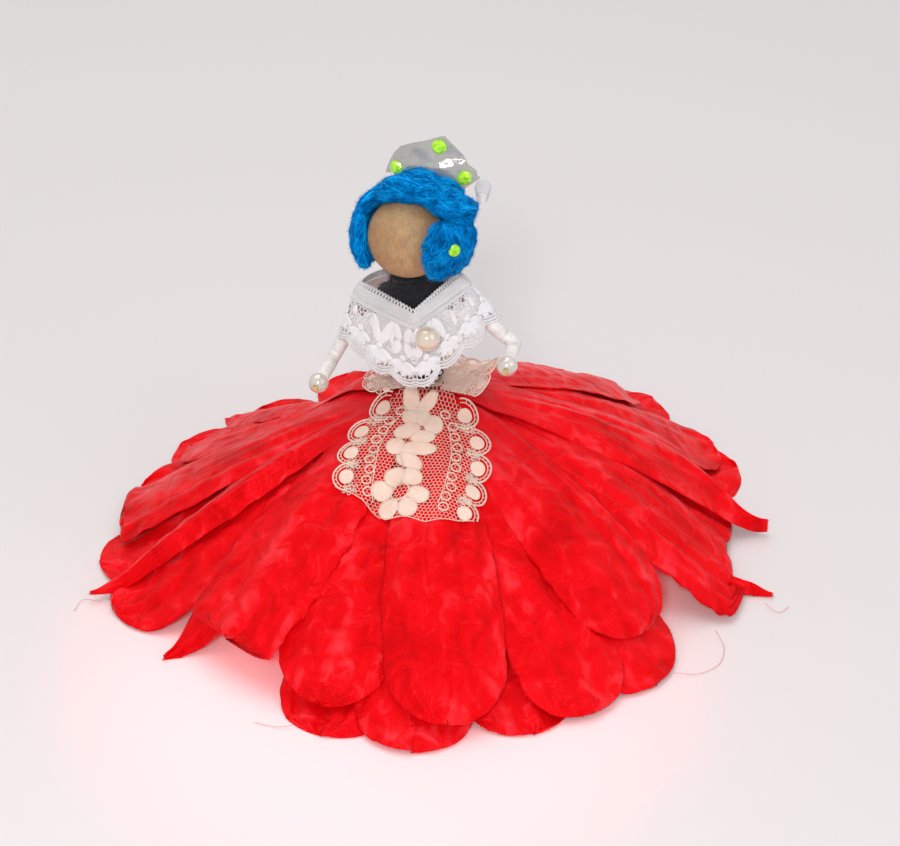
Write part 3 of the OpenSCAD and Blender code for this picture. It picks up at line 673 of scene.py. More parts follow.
class Lace(Parts):
    """surface(x, y) gives points in the row frame, and normals, for flat coordinates in millimetres."""

    def __init__(self, surface):
        super().__init__()
        self.surface = surface
        self.solids = []

    def cord(self, points, r, closed=False, sides=5):
        p = np.asarray(points, float)
        if closed:
            p = np.vstack([p, p[:1]])
        along = along_line(p)
        n = max(3, int(along[-1] / CORD_STEP) + 1)
        t = np.linspace(0, along[-1], n)
        x, y = np.interp(t, along, p[:, 0]), np.interp(t, along, p[:, 1])
        at, normal = self.surface(x, y)
        self.tube(at + normal * CORD_LIFT, r, sides, CORD_TONE)

    def ring(self, cx, cy, a, r):
        t = circle(14)
        self.cord(np.stack([cx + a * np.cos(t), cy + a * np.sin(t)], -1), r, True)

    def blob(self, cx, cy, a, b, turn=0.0, height=0.15):
        """A closely stitched solid, raised in the middle."""
        n = 18
        t = circle(n)
        rows, flat = [], []
        for q, off in ((0.05, -0.12), (0.93, -0.12), (1.0, 0.05), (0.92, 0.62 * height), (0.6, 0.95 * height),
                       (0.05, height)):
            x, y = q * a * np.cos(t), q * b * np.sin(t)
            dx, dy = spun(x, y, turn)
            at, normal = self.surface(cx + dx, cy + dy)
            rows.append(at + normal * off)
            flat.append(np.stack([x, y], -1))
        self.grid(np.array(rows), SOLID_TONE, np.array(flat), wrap=True)
        i = np.arange(n)
        for row, order in ((0, i[::-1]), (5, i)):
            verts = np.vstack([rows[row], np.mean(rows[row], 0)])
            faces = [[n, order[j], order[(j + 1) % n], order[(j + 1) % n]] for j in range(n)]
            self.add(verts, faces, SOLID_TONE, np.vstack([flat[row], [[0, 0]]]))
        self.solids.append((cx, cy, a, b, turn))

    def in_solid(self, x, y):
        hit = np.zeros(len(x), bool)
        for cx, cy, a, b, turn in self.solids:
            u, v = spun(x - cx, y - cy, -turn)
            hit |= (u / a) ** 2 + (v / b) ** 2 < 0.9 ** 2
        return hit

    def net(self, inside, box, pitch, r):
        """Six-sided holes, pitch apart."""
        x0, y0, x1, y1 = box
        e = pitch / math.sqrt(3)
        a, b = [], []
        rows = int((y1 - y0) / (1.5 * e)) + 2
        cols = int((x1 - x0) / pitch) + 2
        for j in range(rows):
            for i in range(cols):
                cx, cy = x0 + pitch * (i + 0.5 * (j % 2)), y0 + 1.5 * e * j
                corner = [(cx + e * math.sin(q), cy + e * math.cos(q)) for q in np.radians([0, 60, 120, 180])]
                a += corner[:3]
                b += corner[1:]
        a, b = np.array(a), np.array(b)
        middle = (a + b) / 2
        keep = inside(middle[:, 0], middle[:, 1]) & ~self.in_solid(middle[:, 0], middle[:, 1])
        a, b = a[keep], b[keep]
        self.struts(*(self.surface(p[:, 0], p[:, 1])[0] for p in (a, b)), r, NET_TONE)


def with_normals(at):
    """A surface function that also gives normals, from one that gives points only."""
    def surface(x, y):
        x, y = np.asarray(x, float), np.asarray(y, float)
        p = at(x, y)
        n = unit(np.cross(at(x + 0.2, y) - p, at(x, y + 0.2) - p))
        return p, n * np.where((n * (p - [0, 0, 30])).sum(-1, keepdims=True) < 0, -1, 1)
    return surface


# Apron: x across, y down from the waist
apron_r = np.linspace(3.5, 60, 300)
apron_along = along_line(np.stack([apron_r, gown_z(apron_r, 0)], -1))
APRON_W = ([0, 0.6, 3, 5, 7, 11, 14, 18, 22, 28, 32, 36, 40],
           [7.6, 8.6, 11.2, 13, 14.6, 17.0, 17.8, 18.6, 18.6, 18.4, 17.8, 17, 16.6])


def apron_w(y):
    return float(np.interp(y, *APRON_W))


def apron_at(x, y):
    r = np.interp(y, apron_along, apron_r)
    z = cloth_z(x - 0.3, -r) + 0.62 + 0.10 * np.sin(0.55 * x + 0.12 * y)
    z = z + 0.4 * np.clip((10 - y) / 10, 0, 1) + 3.0 * np.clip((5 - y) / 5, 0, 1) ** 1.4
    return np.stack([x - 0.3, -r, z], -1)


def apron_end(x):
    return np.interp(x, [-19.5, -18, -10.5, -6, 0, 6, 13, 18, 19.5],
                     [28, 29.5, 33, 36.6, 37.4, 38, 36.4, 34.6, 34])


apron = Lace(with_normals(apron_at))
for x, y, a, b, turn in [
    (-3.4, 3.4, 3.0, 1.7, 70), (0.4, 4.6, 3.4, 1.5, 125), (-2.7, 8.2, 1.9, 1.9, 0), (0.5, 8.4, 1.5, 2.0, 0),
    (3.2, 9.9, 2.1, 2.4, 0), (-2.9, 12.4, 3.0, 1.9, -24), (1.2, 13.9, 2.8, 1.6, -14), (-5.0, 17.2, 2.1, 2.1, 0),
    (0.6, 17.4, 4.2, 1.7, -8), (-0.9, 21.3, 3.2, 1.8, 24), (-3.7, 25.7, 2.3, 2.3, 0), (0.4, 25.8, 2.4, 2.2, 0),
    (-6.2, 29.6, 2.4, 2.2, 0), (2.8, 30.6, 2.4, 2.2, 0), (-3.8, 34.3, 2.1, 2.5, 0), (0.9, 34.6, 2.1, 2.4, 0),
]:
    apron.blob(x, y, 1.1 * a, 1.1 * b, turn)
    t = circle(19)
    dx, dy = spun(1.12 * a * np.cos(t), 1.12 * b * np.sin(t), turn)
    apron.cord(np.stack([x + dx, y + dy], -1), 0.13, True)
apron.ring(-1.6, 30.2, 2.2, 0.26)
apron.cord([(-3.4, 19.2), (-2.6, 21.4), (-1.6, 23.4)], 0.28)
apron.cord([(-4.6, 14.6), (-4.9, 15.6)], 0.28)
for side in (-1, 1):
    centres = [5.2, 12.2, 19.4, 26.6] + ([33.6] if side > 0 else [])
    for cy in centres:
        cx = side * (apron_w(cy) - 3.4)
        for radius, thick in ((3.75, 0.24), (2.95, 0.15)):
            t = np.radians(np.linspace(-112, 112, 26))
            pts = np.stack([cx + side * radius * np.cos(t), cy + 1.02 * radius * np.sin(t)], -1)
            pts = pts[pts[:, 1] < apron_end(pts[:, 0]) + 0.2]
            if len(pts) > 3:
                apron.cord(pts, thick)
        for deg in np.arange(-84, 85, 21):
            q = math.radians(deg)
            ends = np.array([(cx + side * r * math.cos(q), cy + 1.02 * r * math.sin(q)) for r in (2.95, 3.75)])
            if (ends[:, 1] < apron_end(ends[:, 0])).all():
                apron.cord(ends, 0.11, sides=4)
        apron.blob(cx + side * 0.5, cy, 1.85, 2.05)
        y2 = cy + 3.6
        if y2 < 32:
            x2 = side * (apron_w(y2) - 4.1)
            apron.ring(x2, y2, 0.95, 0.15)
            apron.blob(x2, y2, 0.38, 0.38)
            for q in range(6):
                a = math.radians(60 * q + 30)
                apron.ring(x2 + 1.55 * math.cos(a), y2 + 1.55 * math.sin(a), 0.42, 0.11)
    y = 3.2
    j = 0
    while y < 34.5:
        x = side * (apron_w(y) - 8.0 - 0.45 * (j % 2))
        if abs(x) > 4.2 and y < float(apron_end(x)) - 1.3:
            apron.ring(x, y, 1.15, 0.2)
        y += 3.05
        j += 1
    line = [(side * (apron_w(y) - 9.6), y) for y in np.arange(6, 34, 1.0)]
    apron.cord([p for p in line if p[1] < apron_end(p[0])], 0.12)
apron.cord([(x, 0.1) for x in np.linspace(-8.4, 8.4, 20)], 0.18)
apron.cord([(x, float(apron_end(x))) for x in np.linspace(-17.8, 17.2, 60)], 0.13)


def in_apron(x, y):
    w = np.interp(y, *APRON_W)
    return (np.abs(x) < w - 2.6) & (y > 0.3) & (y < apron_end(x) - 0.1)


apron.net(in_apron, (-20, 0, 20, 39), 0.98, 0.085)
apron_obj = apron.object("cream_apron", CREAM)
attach(apron_obj, "gown")
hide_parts("lace_apron")


# Waist lace: x round the waist from the front, y outwards
def waist_at(x, y):
    a = x / 11.0
    r = 3.3 + 0.99 * y
    out = np.clip(y / 14, 0, 1)
    lift = 11.0 * np.exp(-((a - 1.45) / 0.62) ** 2) + 2.2 * np.exp(-((a - 4.95) / 0.5) ** 2) + 2.6
    wave = 0.55 * np.sin(a * 9) + 0.35 * np.sin(a * 17 + 1)
    z = gown_z(r, 0) + 1.3 + lift * out ** 1.15 + wave * out
    return np.stack([r * np.sin(a), -r * np.cos(a), z], -1)


waist = Lace(with_normals(waist_at))
FIRST, LAST, STEP = 10.4, 57.2, 3.9
centres = np.arange(FIRST + STEP / 2, LAST, STEP)
for cx in centres:
    for radius, thick in ((2.05, 0.2), (1.5, 0.13)):
        t = np.radians(np.linspace(-15, 195, 20))
        waist.cord(np.stack([cx + radius * np.cos(t), 11.9 + radius * np.sin(t)], -1), thick)
    for deg in range(0, 181, 36):
        q = math.radians(deg)
        waist.cord([(cx + r * math.cos(q), 11.9 + r * math.sin(q)) for r in (1.5, 2.05)], 0.1, sides=4)
    waist.blob(cx, 12.0, 0.95, 0.95)
    waist.ring(cx + STEP / 2, 10.6, 0.7, 0.13)
    waist.ring(cx, 9.2, 0.75, 0.14)
    waist.blob(cx + STEP / 2, 8.4, 0.7, 1.0)
    waist.ring(cx, 6.9, 0.65, 0.13)
    waist.blob(cx, 4.6, 0.6, 1.2)
waist.cord([(x, 0.2) for x in np.linspace(FIRST, LAST, 60)], 0.35)
waist.cord([(x, 7.9) for x in np.linspace(FIRST, LAST, 80)], 0.12)


def in_waist(x, y):
    hem = 11.9 + 1.2 * np.abs(np.sin(math.pi * (x - FIRST) / STEP))
    return (x > FIRST) & (x < LAST) & (y > 0.3) & (y < hem)


waist.net(in_waist, (9, 0, 59, 15), 0.86, 0.13)
waist.net(lambda x, y: in_waist(x, y) & (y > 0.5) & (y < 11.2), (9.4, 0.5, 59, 15), 0.70, 0.15)
waist_obj = waist.object("cream_waist_lace", PEACH)
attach(waist_obj, "gown")
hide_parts("waist_lace")


# Shawl: x round the shoulders from the front, y down from the upper edge
def in_front(a, power):
    return np.where(np.cos(a) > 0, 1 - np.abs(np.sin(a)) ** power, 0)


def shawl_upper(a):
    y = np.where(np.cos(a) > 0, -8.6 * in_front(a, 1), -7.2 * np.cos(a))
    return np.stack([12.5 * np.sin(a) + 2 * in_front(a, 1), y], -1)


def shawl_lower(a):
    y = np.where(np.cos(a) > 0, -13.8 * np.sqrt(in_front(a, 1.4)), -12.2 * np.cos(a))
    return np.stack([19.9 * np.sin(a), y], -1)


def shawl_top_z(a):
    return 75.4 - 4.2 * in_front(a, 1)


def shawl_hem_z(a):
    return 64.8 - 2.5 * (1 - np.cos(a)) / 2 - 12 * in_front(a, 1.15)


def shawl_raw(a, t):
    top, hem = shawl_upper(a), shawl_lower(a)
    q = top + (hem - top) * (np.sign(t) * np.abs(t) ** 0.8)[..., None]
    q = q * (1 + (0.03 * np.sin(9 * a) * np.maximum(t, 0) ** 1.5)[..., None])
    z = shawl_top_z(a) + (shawl_hem_z(a) - shawl_top_z(a)) * t
    return np.concatenate([q, z[..., None]], -1)


shawl_a = np.linspace(-math.pi, math.pi, 721)
mid = shawl_raw(shawl_a, np.full(721, 0.6))
shawl_x = along_line(mid)
shawl_x -= np.interp(0, shawl_a, shawl_x)
HALF = float(shawl_x[-1])
rows = np.array([shawl_raw(shawl_a, np.full(721, t)) for t in np.linspace(0, 1, 12)])
shawl_h = np.linalg.norm(np.diff(rows, axis=0), axis=-1).sum(0)


def shawl_height(x):
    return np.interp(x, shawl_x, shawl_h)


def shawl_at(x, y):
    a = np.interp(x, shawl_x, shawl_a)
    return on_body(shawl_raw(a, np.asarray(y, float) / shawl_height(x)))


shawl = Lace(with_normals(shawl_at))
count = 14
step = 2 * HALF / count


def shawl_edge(x):
    return shawl_height(x) - 1.5 + 1.6 * np.abs(np.sin(math.pi * (x + HALF) / step)) ** 0.8


def open_part(x, y):
    """Beside the neck the net is coarse, so the black shows through."""
    a = np.abs(np.interp(x, shawl_x, shawl_a))
    return (((a - 0.95) / 0.42) ** 2 + ((y - 5.6) / 3.0) ** 2 < 1) & (y > 3.6)


def in_net(x, y):
    return (np.abs(x) < HALF) & (y > 3.4) & (y < shawl_edge(x) - 2.7)


xs = np.linspace(-HALF, HALF, 420)
for y, r in ((0.3, 0.40), (0.8, 0.42), (1.3, 0.42), (1.8, 0.42), (2.25, 0.34), (3.1, 0.26), (3.6, 0.22)):
    shawl.cord(np.stack([xs, np.full(420, y)], -1), r)
for i in range(int(2 * HALF / 1.25)):
    x = -HALF + 1.25 * i
    shawl.cord([(x, 0.1), (x + 0.25, -0.85), (x + 0.8, -0.85), (x + 1.05, 0.1)], 0.22, sides=4)
    for part in (0, 0.42, 0.84):
        shawl.cord([(x + part, 1.9), (x + part + 0.1, 3.1)], 0.15, sides=4)
for inset, r in ((0, 0.30), (0.75, 0.34), (1.5, 0.26), (2.9, 0.2)):
    shawl.cord(np.stack([xs, shawl_edge(xs) - inset], -1), r)
for i in range(int(2 * HALF / 1.05)):
    x = -HALF + 1.05 * i
    e = float(shawl_edge(x))
    shawl.cord([(x, e), (x + 0.25, e + 0.6), (x + 0.6, e + 0.6), (x + 0.85, e)], 0.15, sides=4)
    shawl.cord([(x, e - 1.5), (x, e - 2.9)], 0.15, sides=4)
for i in range(count):
    cx = -HALF + (i + 0.5) * step
    h = float(shawl_height(cx))
    base = h - 6.8
    for deg in (-64, -32, 0, 32, 64):
        q = math.radians(deg)
        shawl.blob(cx + 2.2 * math.sin(q), base + 0.9 + 2.2 * math.cos(q), 0.95, 1.9, -deg, 0.22)
    shawl.blob(cx, base + 0.2, 0.9, 0.8, 0, 0.25)
    room = base - 4.2
    if room > 2.0:
        n = max(1, int(round(room / 4.6)))
        long = room / n
        for j in range(n):
            y = 4.0 + (j + 0.5) * long
            lean = 26 if j % 2 == 0 else -26
            for side in (-1, 1):
                if not open_part(cx + side * 1.75, y):
                    shawl.blob(cx + side * 1.75, y, 1.35, 0.56 * long, side * lean, 0.25)
            shawl.blob(cx + step / 2, y, 0.75, 0.36 * long, 0, 0.22)
    shawl.ring(cx + step / 2, h - 7.2, 0.9, 0.2)
shawl.net(lambda x, y: in_net(x, y) & ~open_part(x, y), (-HALF, 0, HALF, 26), 0.72, 0.14)
shawl.net(open_part, (-HALF, 0, HALF, 12), 1.35, 0.17)
shawl_obj = shawl.object("white_lace_shawl", WHITE)
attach(shawl_obj, "torso")
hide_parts("lace_shawl")

# The lace is folded double, so a second, paler layer lies under it
under = Parts()
rows, cols = 26, 260
a = np.linspace(-math.pi, math.pi, cols + 1)[:-1]
aa, part = np.meshgrid(a, np.linspace(0, 1, rows))
begin = 0.10 + 0.34 * np.exp(-((np.abs(aa) - 0.95) / 0.34) ** 2)
tt = begin + (0.84 - begin) * part
p = shawl_raw(aa, tt)
p[..., :2] *= (1 - 0.75 / np.linalg.norm(p[..., :2], axis=-1))[..., None]
p[..., 2] += 0.05 * rng.standard_normal(p.shape[:2])
across_x = np.broadcast_to(shawl_x[np.searchsorted(shawl_a, a)][None], aa.shape)
under.grid(on_body(p), 0.5, np.stack([across_x, tt * 20], -1), wrap=True)
under_obj = thin(under.object("white_lace_underlayer", TULLE), 0.18)
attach(under_obj, "torso")
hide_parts("lace_shawl")


# ---- Black chenille: the body under the shawl, the waist and the neck ----

def rings_of(sections):
    """A closed shell through sections of (z, half-width across, half-width front, half-width back)."""
    s = np.asarray(sections, float)
    z = np.linspace(s[0, 0], s[-1, 0], 60)
    a = circle(40)
    w = [np.interp(z, s[:, 0], s[:, k]) for k in (1, 2, 3)]
    x = w[0][:, None] * np.sin(a)[None]
    y = -np.where(np.cos(a)[None] > 0, w[1][:, None], w[2][:, None]) * np.cos(a)[None]
    return np.stack([x, y, np.broadcast_to(z[:, None], x.shape)], -1)


def fuzzy(name, sections, place, fibres, length, lump):
    body = Parts()
    p = rings_of(sections)
    x, y, z = (p[..., k] for k in range(3))
    wave = lump * (np.sin(z * 3.1 + 2 * np.arctan2(x, y)) + 0.5 * np.sin(z * 5.3 - x))
    centre = p.mean(1, keepdims=True)
    p = p + unit(p - centre) * wave[..., None]
    body.grid(place(p), 0.4, None, wrap=True)
    for row in (p[0], p[-1]):
        body.fan(row, 0.4, place)
    flat = p.reshape(-1, 3)
    out = unit(p - centre).reshape(-1, 3)
    pick = rng.integers(0, len(flat), fibres)
    roots = flat[pick] + 0.25 * rng.standard_normal((fibres, 3))
    way = unit(out[pick] + 0.6 * rng.standard_normal((fibres, 3)))
    tips = roots + way * rng.uniform(0.5, 1.0, (fibres, 1)) * length
    body.spikes(place(roots), place(tips), 0.07, rng.uniform(0, 1, fibres))
    return body.object(name, BLACK)


torso_obj = fuzzy("black_bodice", [
    (52.6, 0.5, 0.5, 0.5), (52.9, 3.6, 3.4, 3.4), (57, 5.2, 4.8, 4.8), (63, 6.8, 6.4, 6.2), (67, 8.8, 6.6, 6.0),
    (70, 10.0, 6.4, 5.6), (72.5, 9.2, 5.6, 4.8), (74.6, 7.0, 4.4, 4.0), (75.8, 4.0, 3.4, 3.4), (76.0, 0.5, 0.5, 0.5),
], on_body, 9000, 0.9, 0.35)
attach(torso_obj, "torso")
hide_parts("bodice_wrap", "shoulder_wrap")
waist_fuzz = fuzzy("black_waist", [
    (47.9, 0.5, 0.5, 0.5), (48.1, 2.9, 2.9, 2.9), (49.2, 3.5, 3.4, 3.4), (51, 3.0, 3.0, 3.0), (53.2, 3.4, 3.2, 3.2),
    (53.4, 0.5, 0.5, 0.5),
], on_body, 1500, 0.7, 0.2)
tuple(on_body([0, 0, 49.4]) * MM)
tuple(on_body([0, 0, 51.6]) * MM)
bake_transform(waist_fuzz)
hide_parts("waist_wrap")
neck_fuzz = fuzzy("black_neck", [
    (74.4, 0.5, 0.5, 0.5), (74.6, 3.8, 3.6, 3.6), (76, 4.0, 3.8, 3.6), (77.6, 3.7, 3.5, 3.4), (78.3, 3.0, 2.9, 2.9),
    (78.4, 0.5, 0.5, 0.5),
], on_neck, 1800, 0.7, 0.2)
tuple(on_neck([0, 0, 75.4]) * MM)
tuple(on_neck([0, 0, 77.2]) * MM)
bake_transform(neck_fuzz)
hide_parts("neck_collar")


# ---- Arms: floss wound on wire ----

def wound(name, path, radius, start, end, nodes_for):
    """A sleeve of floss with a fine spiral. path is a list of points, in the frame of that arm."""
    arm = Parts()
    n, sides, fuzz = 240, 22, 130
    line = curve_through(path, n)
    along = along_line(line)
    t = unit(np.gradient(line, axis=0))
    a, b = carried(t, unit(np.cross(t[0], [0.3, 0.2, 1.0])))
    ang = circle(sides)
    # The last half millimetre at each end is rounded off
    near = np.clip(1 - np.stack([along, along[-1] - along]) / 0.5, 0, 1)
    ease = np.sqrt(1 - near ** 2).prod(0)
    ridge = 0.006 * np.sin(2 * math.pi * along[:, None] / 0.62 + ang)
    bulge = 1 + 0.02 * np.sin(along * 0.9) + 0.012 * np.sin(along * 2.1 + 1)
    r = ((radius * bulge)[:, None] + ridge) * np.maximum(ease, 0.05)[:, None]
    rows = line[:, None] + r[..., None] * about(ang, a[:, None], b[:, None])
    arm.grid(rows, 0.7 + 0.09 * np.sin(along * 5.1)[:, None] * np.ones((1, sides)), None, wrap=True)
    for row in (rows[0], rows[-1]):
        arm.fan(row, 0.6)
    pick = rng.integers(0, n * sides, fuzz)
    roots = rows.reshape(-1, 3)[pick]
    out = unit(unit(roots - line[pick // sides]) + 0.9 * rng.standard_normal((fuzz, 3)))
    arm.spikes(roots, roots + out * rng.uniform(0.2, 0.8, (fuzz, 1)), 0.03, 0.8)
    obj = arm.object(name, FLOSS)
    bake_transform(obj)
    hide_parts(*nodes_for)


for side, word in ((1, "left"), (-1, "right")):
    inside = [[9.6, 1.6, 71.2], [11.6, 1.4, 70.6], list(SHOULDER_MID)]
    fixed = [on_body(np.array(p) * [side, 1, 1]) for p in inside]
    moving = [on_arm(SHOULDER + (ELBOW - SHOULDER) * f, side) for f in (0.0, 0.5)]
    pull = unit(ELBOW - SHOULDER)
    wound(f"{word}_shoulder_floss", fixed + moving, 1.75,
          on_arm(SHOULDER - 1.8 * unit(SHOULDER - SHOULDER_MID), side), on_arm(SHOULDER + 1.8 * pull, side),
          (f"{word}_shoulder_sleeve", f"{word}_upper_sleeve"))
    line = [on_arm(SHOULDER + (ELBOW - SHOULDER) * f, side) for f in (0.3, 0.7)]
    line.append(on_arm(ELBOW + [0.2, 0, -0.1], side))
    line += [on_arm(ELBOW + (HAND - ELBOW) * f, side) for f in (0.35, 0.83)]
    reach = unit(HAND - ELBOW)
    wound(f"{word}_arm_floss", line, 1.66,
          on_arm(ELBOW - 1.6 * pull, side), on_arm(ELBOW + 1.9 * reach, side), (f"{word}_forearm_sleeve",))


# ---- Hair: locks of floss round the bead ----

WISP = np.array([0.3, 0.8, 1, 1, 0.8, 0.5, 0.15])      # how thick a wisp is along its length


def lock(parts, points, radii, strands, twist, seed):
    """A soft lock in the head's frame: a lumpy core, some long strands and many short curved wisps."""
    r = np.random.default_rng(seed)
    n = 46
    line = curve_through(points, n)
    rad = curve_through(np.asarray(radii, float)[:, None], n)[:, 0]
    t = unit(np.gradient(line, axis=0))
    side, up = carried(t, unit(np.cross(t[0], [0.2, 0.9, 0.3])))
    s = np.linspace(0, 1, n)
    ends = np.sqrt(np.clip(np.minimum(s, 1 - s) * 9, 0.02, 1))
    bumps = r.uniform(0, ROUND, 6)
    long = float(along_line(line)[-1])

    def skin(at, th, q=1.0):
        """A point on the lock at a fraction of its length and an angle round it."""
        lump = 1.0
        for height, (round_it, along_it), phase in zip((0.085, 0.06, 0.045), ((2, 11), (3, -17), (5, 29)), bumps):
            lump = lump + height * np.sin(round_it * th + along_it * at + phase)
        middle, a, b = (np.stack([np.interp(at, s, m[:, k]) for k in range(3)], -1) for m in (line, side, up))
        size = np.interp(at, s, rad * ends) * lump * q
        return middle + size[..., None] * about(th, a, b)

    # The core's tone is 0.2, darker than the strands over it: painted shade in the depth of the lock.
    core = skin(*np.meshgrid(np.linspace(0, 1, 60), circle(30), indexing="ij"), 0.93)
    parts.grid(on_head(core), 0.2, None, wrap=True)
    for row in (core[0], core[-1]):
        parts.fan(row, 0.2, on_head)
    many = 2
    for _ in range(strands * many):
        th = r.uniform(0, ROUND) + twist * s * 2.2
        th = th + 0.35 * np.sin(7 * s + r.uniform(0, ROUND)) + 0.12 * np.sin(19 * s + r.uniform(0, ROUND))
        path = skin(s, th, r.uniform(0.95, 1.04))
        width = 0.15 * r.uniform(0.6, 1.2) * np.clip(np.minimum(s, 1 - s) * 14 + 0.2, 0, 1)
        parts.tube(on_head(path), width, 4, r.uniform(0.1, 0.9))
    for _ in range(int(long * rad.mean() * 9) * many):
        # 2 to 6 mm long, lying roughly along the lock, with the far end lifting off
        span = r.uniform(2, 6) / long
        u = np.linspace(0, 1, len(WISP))
        at = np.clip(r.uniform(0, 1) + span * (u - 0.5), 0.01, 0.99)
        th = r.uniform(0, ROUND) + twist * at * 2.2 + r.normal(0, 0.5) * u
        th = th + 0.25 * np.sin(5 * u + r.uniform(0, ROUND))
        path = skin(at, th, 1.0 + r.uniform(-0.03, 0.05) + r.uniform(0.0, 0.10) * u ** 2)
        parts.tube(on_head(path), 0.12 * r.uniform(0.6, 1.2) * WISP, 3, r.uniform(0, 1))
    fine = int(long * rad.mean() * 52) * many
    at, th = r.uniform(0.01, 0.99, fine), r.uniform(0, ROUND, fine)
    root, out = skin(at, th, 0.97), unit(skin(at, th, 1.2) - skin(at, th, 0.8))
    tip = root + unit(out + 0.9 * r.standard_normal((fine, 3))) * r.uniform(0.4, 1.5, (fine, 1))
    parts.spikes(on_head(root), on_head(tip), 0.035, r.uniform(0.2, 1, fine))


def lock_object(name, locks, stands_for):
    parts = Parts()
    for i, (points, radii, strands, twist) in enumerate(locks):
        lock(parts, points, radii, strands, twist, 100 + 7 * i + len(name))
    obj = parts.object(name, BLUE)
    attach(obj, "head")
    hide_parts(*stands_for)


lock_object("hair_roll_floss", [
    ([(-12.0, -1.7, 3.4), (-11.2, -1.0, 6.3), (-9.0, 0.2, 8.5), (-6.3, -0.4, 10.7), (-2.8, -0.8, 12.8),
      (2.0, 0.2, 13.6), (6.6, 1.4, 12.0)],
     (1.5, 1.6, 1.7, 2.4, 3.4, 3.6, 3.0), 34, 1.4),
    ([(1.2, -1.4, 13.4), (5.4, -1.2, 13.2), (9.4, -0.4, 11.9), (12.9, 0.8, 9.9), (15.3, 2.4, 7.8)],
     (2.2, 2.8, 3.4, 3.7, 2.8), 34, -1.0),
    ([(-4, 3.4, 12.6), (0, 4.0, 13.6), (6, 4.6, 12.6), (11, 4.6, 9.2)], (2.0, 2.9, 3.2, 3.0), 24, -1.2),
], ["hair_roll"])
lock_object("left_bun_floss", [
    ([(9.6, -3.4, 8.4), (10.9, -5.2, 5.4), (11.2, -6.0, 1.6), (10.3, -6.2, -1.8), (9.2, -5.2, -4.4)],
     (2.6, 3.9, 4.2, 3.7, 2.2), 34, 0.9),
    ([(13.2, 0.8, 7.2), (13.6, -1.0, 4.2), (13.4, -2.2, 0.6), (12.3, -2.2, -2.4), (10.6, -1.0, -4.8)],
     (2.2, 3.1, 3.4, 3.1, 2.0), 30, -1.0),
    ([(11.2, 4.6, 5.6), (12.0, 4.2, 2.0), (11.6, 3.6, -2.2), (10.0, 3.6, -5.4)], (2.6, 3.1, 3.2, 2.2), 26, 1.1),
], ["left_hair_bun"])
lock_object("right_bun_floss", [
    ([(-11.9, -2.2, 4.6), (-11.2, -4.3, 1.4), (-10.4, -5.8, -2.2), (-8.9, -6.9, -5.0), (-7.2, -7.1, -7.0)],
     (1.6, 1.8, 1.9, 1.7, 1.2), 24, 1.0),
    ([(-11.8, -0.2, 4.4), (-12.6, -0.6, 0.4), (-12.2, -0.8, -3.4), (-10.4, -0.6, -6.8), (-8.4, 0.8, -8.2)],
     (1.9, 2.2, 2.3, 2.1, 1.5), 24, -1.0),
    ([(-11.0, 4.2, 3.0), (-12.6, 3.8, -1.0), (-11.8, 3.6, -4.8), (-9.4, 4.4, -6.8)], (2.4, 2.8, 2.7, 2.0), 24, 1.0),
], ["right_hair_bun"])



def on_skull(r, down, round_it):
    """Places round the back of the head, by distance, angle down from the crown and angle from straight back."""
    return np.stack(np.broadcast_arrays(r * np.sin(down) * np.sin(round_it), 1.0 + r * np.sin(down) * np.cos(round_it),
                                        r * np.cos(down)), -1)


cap = Parts()
for _ in range(380):
    az = math.radians(rng.uniform(-104, 104))
    top, low = rng.uniform(3, 26), rng.uniform(96, 122)
    th = np.radians(np.linspace(top, low, 30))
    sway = 0.10 * np.sin(3 * th + rng.uniform(0, ROUND)) + az
    r = 12.7 + 0.9 * np.sin(th) + 0.5 * math.sin(7 * az)
    r = r + 0.22 * np.sin(9 * th + rng.uniform(0, ROUND)) + rng.uniform(-0.35, 0.35)
    p = on_skull(r, th, sway)
    width = rng.uniform(0.2, 0.36) * np.clip((1 - np.linspace(0, 1, 30)) * 8, 0.3, 1)
    cap.tube(on_head(p), width, 6, rng.uniform(0, 1))
    j = rng.integers(3, 27, 2)
    d = unit(p[j]) + 0.7 * rng.standard_normal((2, 3))
    cap.spikes(on_head(p[j]), on_head(p[j] + unit(d) * rng.uniform(0.5, 1.4, (2, 1))), 0.05, 0.8)
lat, lon = np.radians(np.linspace(0, 112, 30)), np.radians(np.linspace(-112, 112, 50))
# The shell under the strands has tone 0.1, the darkest blue: painted shade beneath the hair.
cap.grid(on_head(on_skull(12.45, lat[:, None], lon[None])), 0.1)
cap_obj = cap.object("hair_cap_floss", BLUE)
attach(cap_obj, "head")
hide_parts("hair_cap")


# ---- Crown and stones ----

CROWN_Y, CROWN_R = 4.4, 20.0
TOP = ([-9.5, -9.1, -7.3, -5.5, -1.5, 4.2, 5.7, 8.6, 12.9, 13.6],
       [11.0, 13.6, 17.7, 20.2, 22.6, 25.1, 25.6, 22.6, 16.8, 13.0])


def crown_foot(x):
    """Where the film meets the hair."""
    return np.sqrt(np.maximum(15.6 ** 2 - x ** 2, 30))


def crown_point(x, z):
    y = CROWN_Y + CROWN_R - np.sqrt(CROWN_R ** 2 - (x - 1) ** 2)
    crease = np.interp(x, [-9.5, -6.5, -2.5, 2.4, 6.2, 11.5, 13.6], [0.25, -0.3, 0.15, -0.15, 0.1, -0.2, 0.5])
    y = y + crease + 0.05 * (z - 14) + 0.2 * np.sin(0.5 * z + 0.4 * x)
    y = y - 0.9 * np.exp(-np.maximum(z - crown_foot(x), 0) / 1.4)
    # Dents that lean back
    for x0, z0, w in ((-0.8, 17.6, 2.1), (6.2, 18.5, 2.7), (9.9, 19.4, 1.6), (3.0, 17.8, 1.1)):
        near = np.exp(-((x - x0) ** 2 + (z - z0) ** 2) / w ** 2)
        y = y + ((0.366 - (x0 - 1) / CROWN_R) * (x - x0) + 0.62 * (z - z0)) * near
    return np.stack([x, y, z], -1)


